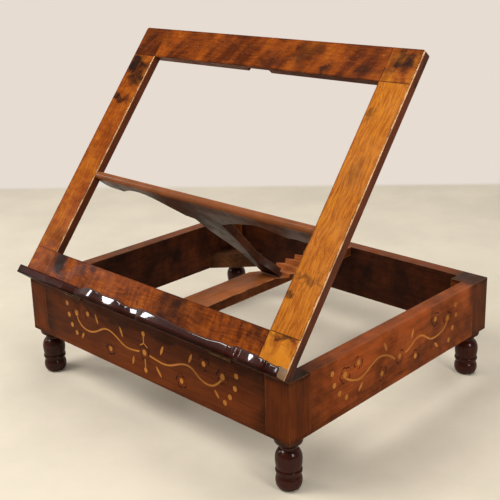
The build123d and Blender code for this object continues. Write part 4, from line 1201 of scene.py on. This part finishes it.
class STAND_OT_reading_frame(StandOperator, bpy.types.Operator):
    """Finishes the core of the reading frame and its figured veneer"""

    bl_idname = "stand.reading_frame"
    bl_label = "Reading frame"

    def execute(self, context):
        make_groups()
        finish = context.scene.stand_finish
        core = Vector(finish.core_wood)
        up_frame = Euler((FRAME_ANGLE, 0.0, 0.0)).to_matrix()
        rail_turn = tuple(up_frame.to_euler())
        stile_turn = tuple((up_frame @ Euler((0.0, 0.0, radians(90))).to_matrix()).to_euler())
        turns = {"left_stile": stile_turn, "right_stile": stile_turn}
        turns |= {"top_rail": rail_turn, "bottom_rail": rail_turn}
        for node, turn in turns.items():
            middle, half_size = local_box(node, turn)
            look = {
                "dark": core * 0.35, "light": core, "worn": finish.walnut_worn, "across": 120.0,
                "gloss": (0.4, 0.6), "shine": 0.12, "wear_and_highlight": 0.0004, "bare": 0.2, "end_dirt": 0.01,
            }
            give(node, polished_wood(f"{node}_core", middle, turn, half_size, look))

        colours = (
            finish.veneer_gold, finish.veneer_orange, finish.veneer_brown, finish.veneer_mark,
            swatch(226, 184, 140),
        )
        veneers = {
            "left_stile_veneer": (stile_turn, {
                "marks": LEFT_STILE_MARKS, "level": 0.53, "contrast": 0.45, "ripple_share": 0.2,
                "cloud": 14.0, "rubbed_and_highlit": -OPENING_HALF_WIDTH, "flecks": 0.35,
            }),
            "right_stile_veneer": (stile_turn, {
                "marks": RIGHT_STILE_MARKS, "level": 0.7, "contrast": 0.36, "ripple": 90.0,
                "ripple_share": 0.0, "cloud": 34.0, "cloud_share": 0.25, "rubbed_and_highlit": FRAME_HALF_WIDTH,
                "flecks": 0.7,
            }),
            "top_rail_veneer": (rail_turn, {
                "marks": TOP_RAIL_MARKS, "level": 0.41, "contrast": 0.5, "slant": -0.55,
                "ripple": 42.0, "ripple_share": 0.35, "cloud_share": 0.4, "cloud": 16.0,
                "flecks": 0.4, "joint": 0.4,
            }),
            "bottom_rail_veneer": (rail_turn, {
                "marks": BOTTOM_RAIL_MARKS, "level": 0.43, "contrast": 0.5, "slant": 0.1,
                "ripple": 110.0, "ripple_share": 0.35, "cloud_share": 0.3, "cloud": 16.0,
                "flecks": 0.5,
            }),
            "top_left_corner_veneer": (rail_turn, {
                "marks": TOP_LEFT_MARKS, "level": 0.28, "contrast": 0.5, "slant": -0.55,
                "ripple": 42.0, "ripple_share": 0.5, "cloud_share": 0.35, "cloud": 16.0,
                "joint": 0.0, "flecks": 0.4,
            }),
            "top_right_corner_veneer": (rail_turn, {
                "marks": TOP_RIGHT_MARKS, "level": 0.6, "contrast": 0.6, "cloud": 30.0,
                "rubbed_and_highlit": FRAME_HALF_WIDTH, "flecks": 0.8,
            }),
            "bottom_left_corner_veneer": (stile_turn, {
                "marks": BOTTOM_LEFT_MARKS, "level": 0.46, "contrast": 0.5, "cloud": 14.0,
                "joint": 0.5,
            }),
            "bottom_right_corner_veneer": (rail_turn, {
                "marks": BOTTOM_RIGHT_MARKS, "level": 0.82, "contrast": 0.8, "ripple": 110.0,
                "ripple_share": 0.5, "rubbed_and_highlit": FRAME_HALF_WIDTH, "flecks": 0.7,
            }),
        }
        for node, (turn, look) in veneers.items():
            give(node, figured_veneer(f"{node}_figure", node, turn, colours, look))
        return {"FINISHED"}


class STAND_OT_book_ledge(StandOperator, bpy.types.Operator):
    """Shapes the book ledge and gives it its dark red gloss"""

    bl_idname = "stand.book_ledge"
    bl_label = "Book ledge"

    def execute(self, context):
        make_groups()
        shape, finish = context.scene.stand_shape, context.scene.stand_finish
        piece = closed_skin("shaped_book_ledge", [ledge_rows(shape)])
        turn = (FRAME_ANGLE, 0.0, 0.0)
        middle, half_size = local_box("book_ledge", turn)
        wood = Vector(finish.ledge_wood)
        look = {
            "dark": wood * 0.38, "light": wood, "worn": swatch(130, 80, 58), "bare": 0.15,
            "wear_and_highlight": 0.0006, "across": 120.0, "end_dirt": 0.008, "gloss": (0.3, 0.45), "shine": 0.03,
            "coat": 1.0, "coat_rough": 0.06,
            "glossy_from": [(1, -0.005, -0.002), (0, -0.125, -0.112)],
            # The lowest 3.5 mm of the ledge is nearly black: painted shade under the ledge, partly
            # dirt. Its right end face is a lighter brown
            "faces": [(1, -1, wood * 0.1, 1.0, 0.0035), (0, 1, swatch(150, 118, 88), 0.9, 0.0012)],
        }
        give(piece, polished_wood("ledge_gloss", middle, turn, half_size, look))
        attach(piece, "reading_frame")
        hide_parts("book_ledge")
        return {"FINISHED"}


class STAND_OT_prop_board(StandOperator, bpy.types.Operator):
    """Shapes the prop board that holds the frame up"""

    bl_idname = "stand.prop_board"
    bl_label = "Prop board"

    def execute(self, context):
        make_groups()
        shape, finish = context.scene.stand_shape, context.scene.stand_finish
        piece = closed_skin("shaped_prop_board", prop_board_rows(shape))
        turn = (BOARD_ANGLE, 0.0, 0.0)
        middle, half_size = local_box("prop_board", turn)
        wood = Vector(finish.board_wood)
        look = {
            "dark": wood * 0.25, "light": wood, "worn": swatch(176, 116, 72), "bare": 0.25,
            "wear_and_highlight": 0.0006, "across": 100.0, "end_dirt": 0.01, "gloss": (0.35, 0.55), "shine": 0.12,
            "coat": 0.08, "coat_rough": 0.12, "contrast": 1.0,
            "faces": [(1, -1, swatch(164, 92, 42), 0.6, 0.011)],
        }
        give(piece, polished_wood("prop_board_walnut", middle, turn, half_size, look))
        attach(piece, "prop")
        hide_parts("prop_board")
        return {"FINISHED"}


class STAND_OT_metal(StandOperator, bpy.types.Operator):
    """Finishes hinges, screws and pivot pins"""

    bl_idname = "stand.metal"
    bl_label = "Hinges, screws and pins"

    def execute(self, context):
        finish = context.scene.stand_finish
        brass = old_metal("old_brass", finish.brass, swatch(34, 25, 16))
        screws = old_metal("screw_brass", Vector(finish.brass) * 1.4, swatch(38, 28, 18))
        steel = old_metal("pivot_steel", finish.steel, swatch(58, 50, 44))
        for side in ("left", "right"):
            give(f"{side}_base_hinge_leaf", brass)
            give(f"{side}_frame_hinge_leaf", brass)
            give(f"{side}_hinge_pin", steel)
            give(f"{side}_prop_pivot_pin", steel)
        give("base_hinge_screws", screws)
        give("frame_hinge_screws", screws)
        return {"FINISHED"}


def lamp(name, place, target, width, height, power, colour):
    """A rectangular studio lamp that points at a target."""
    light = bpy.data.lights.new(name, "AREA")
    light.shape = "RECTANGLE"
    light.size, light.size_y = width, height
    light.energy, light.color = power, colour
    item = bpy.data.objects.new(name, light)
    item.location = place
    item.rotation_euler = (Vector(target) - Vector(place)).to_track_quat("-Z", "Y").to_euler()
    bpy.context.scene.collection.objects.link(item)


class STAND_OT_stage(StandOperator, bpy.types.Operator):
    """Sets out the floor, the backdrop, the lamps and the camera"""

    bl_idname = "stand.stage"
    bl_label = "Floor, lamps and camera"

    def execute(self, context):
        stage = context.scene.stand_stage
        self.lay_floor(stage)
        self.light_room(context.scene, stage)
        self.place_camera(context.scene, stage)
        context.scene.view_settings.view_transform = "Standard"
        return {"FINISHED"}

    def lay_floor(self, stage):
        """A wide floor that turns into the backdrop behind the stand and far off all round.

        Behind the stand it does so at a line, given by its turn, its distance and its half width.
        """
        reach, far_from, far_to = 12.0, 1.5, 3.2
        line_turn, line_distance, line_blend = radians(130.74), 1.058, 0.02
        mesh = bpy.data.meshes.new("floor")
        corners = [(-reach, -reach, 0), (reach, -reach, 0), (reach, reach, 0), (-reach, reach, 0)]
        mesh.from_pydata(corners, [], [(0, 1, 2, 3)])
        floor = bpy.data.objects.new("floor", mesh)
        bpy.context.scene.collection.objects.link(floor)
        material, bench, shader = new_material("pale_floor")
        place = bench.place(ORIGIN, (0.0, 0.0, line_turn))
        x, _, _ = bench.parts(place)
        behind = bench.ease(x, line_distance - line_blend, line_distance + line_blend)
        far = bench.ease(bench.length(place), far_from, far_to)
        backdrop = bench.math("MAXIMUM", behind, far)
        rays = bench.add("ShaderNodeLightPath").outputs
        seen = bench.math("MAXIMUM", rays["Is Camera Ray"], rays["Is Glossy Ray"])
        seen = bench.math("MAXIMUM", seen, rays["Is Transmission Ray"])
        cloudy = bench.ease(bench.noise(place, 5.0, 5.0, 0.62), 0.3, 0.7, 0.94, 1.05)
        tint = bench.joined(cloudy, cloudy, cloudy)
        colour = bench.mix(1.0, opaque(stage.floor_colour), tint, "MULTIPLY")
        bench.tree.links.new(colour, shader.inputs["Base Color"])
        shader.inputs["Roughness"].default_value = 0.85
        shader.inputs["Specular IOR Level"].default_value = 0.2
        wall_colour = opaque(stage.wall_colour)
        glow = bench.add("ShaderNodeEmission", {"Color": wall_colour, "Strength": 1.0})
        both = bench.add("ShaderNodeMixShader", {
            0: bench.times(backdrop, seen), 1: shader.outputs[0], 2: glow.outputs[0],
        })
        output = next(node for node in bench.tree.nodes if node.type == "OUTPUT_MATERIAL")
        bench.tree.links.new(both.outputs[0], output.inputs["Surface"])
        mesh.materials.append(material)

    def light_room(self, scene, stage):
        """Even room light; the camera and a gloss see the backdrop's colour past the floor."""
        world = bpy.data.worlds.new("room")
        world.use_nodes = True
        world.node_tree.nodes.clear()
        bench = Bench(world.node_tree)
        rays = bench.add("ShaderNodeLightPath").outputs
        way = bench.add("ShaderNodeTexCoord").outputs["Generated"]
        to_back = (-0.653, 0.758, 0.0)
        behind = bench.add("ShaderNodeVectorMath", {0: way, 1: to_back}, operation="DOT_PRODUCT")
        to_wall = bench.ease(behind.outputs["Value"], 0.0, 0.5, 0.1, 1.0)
        mirrored = bench.math("MAXIMUM", rays["Is Glossy Ray"], rays["Is Transmission Ray"])
        seen = bench.math("MAXIMUM", rays["Is Camera Ray"], bench.times(mirrored, to_wall))
        pale = (1.0, 0.985, 0.96, 1.0)
        even = bench.add("ShaderNodeBackground", {"Color": pale, "Strength": stage.sky_strength})
        wall_colour = opaque(stage.wall_colour)
        wall = bench.add("ShaderNodeBackground", {"Color": wall_colour, "Strength": 1.0})
        both = bench.add("ShaderNodeMixShader", {0: seen, 1: even.outputs[0], 2: wall.outputs[0]})
        bench.add("ShaderNodeOutputWorld", {"Surface": both.outputs[0]})
        scene.world = world
        middle = (0.0, 0.0, 0.2)
        warm, white, cool = (1.0, 0.97, 0.93), (1.0, 0.98, 0.95), (0.97, 0.98, 1.0)
        lamp("key_lamp", (-0.9, -1.35, 2.1), middle, 0.95, 0.95, stage.key_power, warm)
        lamp("overhead_lamp", (0.3, 0.6, 2.4), middle, 2.0, 2.0, stage.fill_power, white)
        lamp("left_lamp", (-1.77, -1.16, 1.02), middle, 0.2, 0.55, stage.left_power, cool)
        lamp("right_lamp", (1.9, -0.35, 1.1), middle, 0.5, 0.8, stage.right_power, warm)
        lamp("front_lamp", (-0.5, -2.3, 1.5), middle, 0.45, 0.3, stage.front_power, white)

    def place_camera(self, scene, stage):
        """The camera stands in front, to the right, a little tilted, and looks down."""
        viewpoint = (0.8949, -0.9351, 0.6480)
        azimuth, elevation, roll = radians(43.97), radians(16.23), radians(-1.43)
        flat = cos(elevation)
        ahead = Vector((-sin(azimuth) * flat, cos(azimuth) * flat, -sin(elevation)))
        level = Vector((cos(azimuth), sin(azimuth), 0.0))
        upright = level.cross(ahead)
        right = level * cos(roll) + upright * sin(roll)
        up = upright * cos(roll) - level * sin(roll)
        data = bpy.data.cameras.new("camera")
        data.sensor_width = 36
        data.lens = stage.focal_length
        data.shift_y = -0.1
        data.clip_start, data.clip_end = 0.01, 100
        camera = bpy.data.objects.new("camera", data)
        scene.collection.objects.link(camera)
        turn = Matrix((right, up, -ahead)).transposed().to_4x4()
        camera.matrix_world = Matrix.Translation(viewpoint) @ turn
        scene.camera = camera


class STAND_PT_panel(bpy.types.Panel):
    """The stand's settings and steps, in the 3D view's sidebar"""

    bl_label = "Reading Stand"
    bl_idname = "STAND_PT_panel"
    bl_space_type = "VIEW_3D"
    bl_region_type = "UI"
    bl_category = "Reading Stand"

    def draw(self, context):
        layout = self.layout
        for operator in OPERATORS:
            layout.operator(operator.bl_idname)
        for title, settings in (
            ("Shapes", context.scene.stand_shape),
            ("Finishes", context.scene.stand_finish),
            ("Stage", context.scene.stand_stage),
        ):
            box = layout.box()
            box.label(text=title)
            for name in settings.__annotations__:
                box.prop(settings, name)


OPERATORS = (
    STAND_OT_feet,
    STAND_OT_base_rails,
    STAND_OT_corner_pieces,
    STAND_OT_toothed_bar,
    STAND_OT_inlay,
    STAND_OT_reading_frame,
    STAND_OT_book_ledge,
    STAND_OT_prop_board,
    STAND_OT_metal,
    STAND_OT_stage,
)
SETTINGS = (StandShapeSettings, StandFinishSettings, StandStageSettings)


def register():
    """Makes the classes and settings known."""
    for cls in (*SETTINGS, *OPERATORS, STAND_PT_panel):
        bpy.utils.register_class(cls)
    bpy.types.Scene.stand_shape = PointerProperty(type=StandShapeSettings)
    bpy.types.Scene.stand_finish = PointerProperty(type=StandFinishSettings)
    bpy.types.Scene.stand_stage = PointerProperty(type=StandStageSettings)


def unregister():
    """Takes the classes and settings away again."""
    del bpy.types.Scene.stand_stage
    del bpy.types.Scene.stand_finish
    del bpy.types.Scene.stand_shape
    for cls in (STAND_PT_panel, *reversed(OPERATORS), *reversed(SETTINGS)):
        bpy.utils.unregister_class(cls)


def main():
    """Registers the add-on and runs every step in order."""
    register()
    bpy.ops.stand.feet()
    bpy.ops.stand.base_rails()
    bpy.ops.stand.corner_pieces()
    bpy.ops.stand.toothed_bar()
    bpy.ops.stand.inlay()
    bpy.ops.stand.reading_frame()
    bpy.ops.stand.book_ledge()
    bpy.ops.stand.prop_board()
    bpy.ops.stand.metal()
    bpy.ops.stand.stage()


if __name__ == "__main__":
    main()
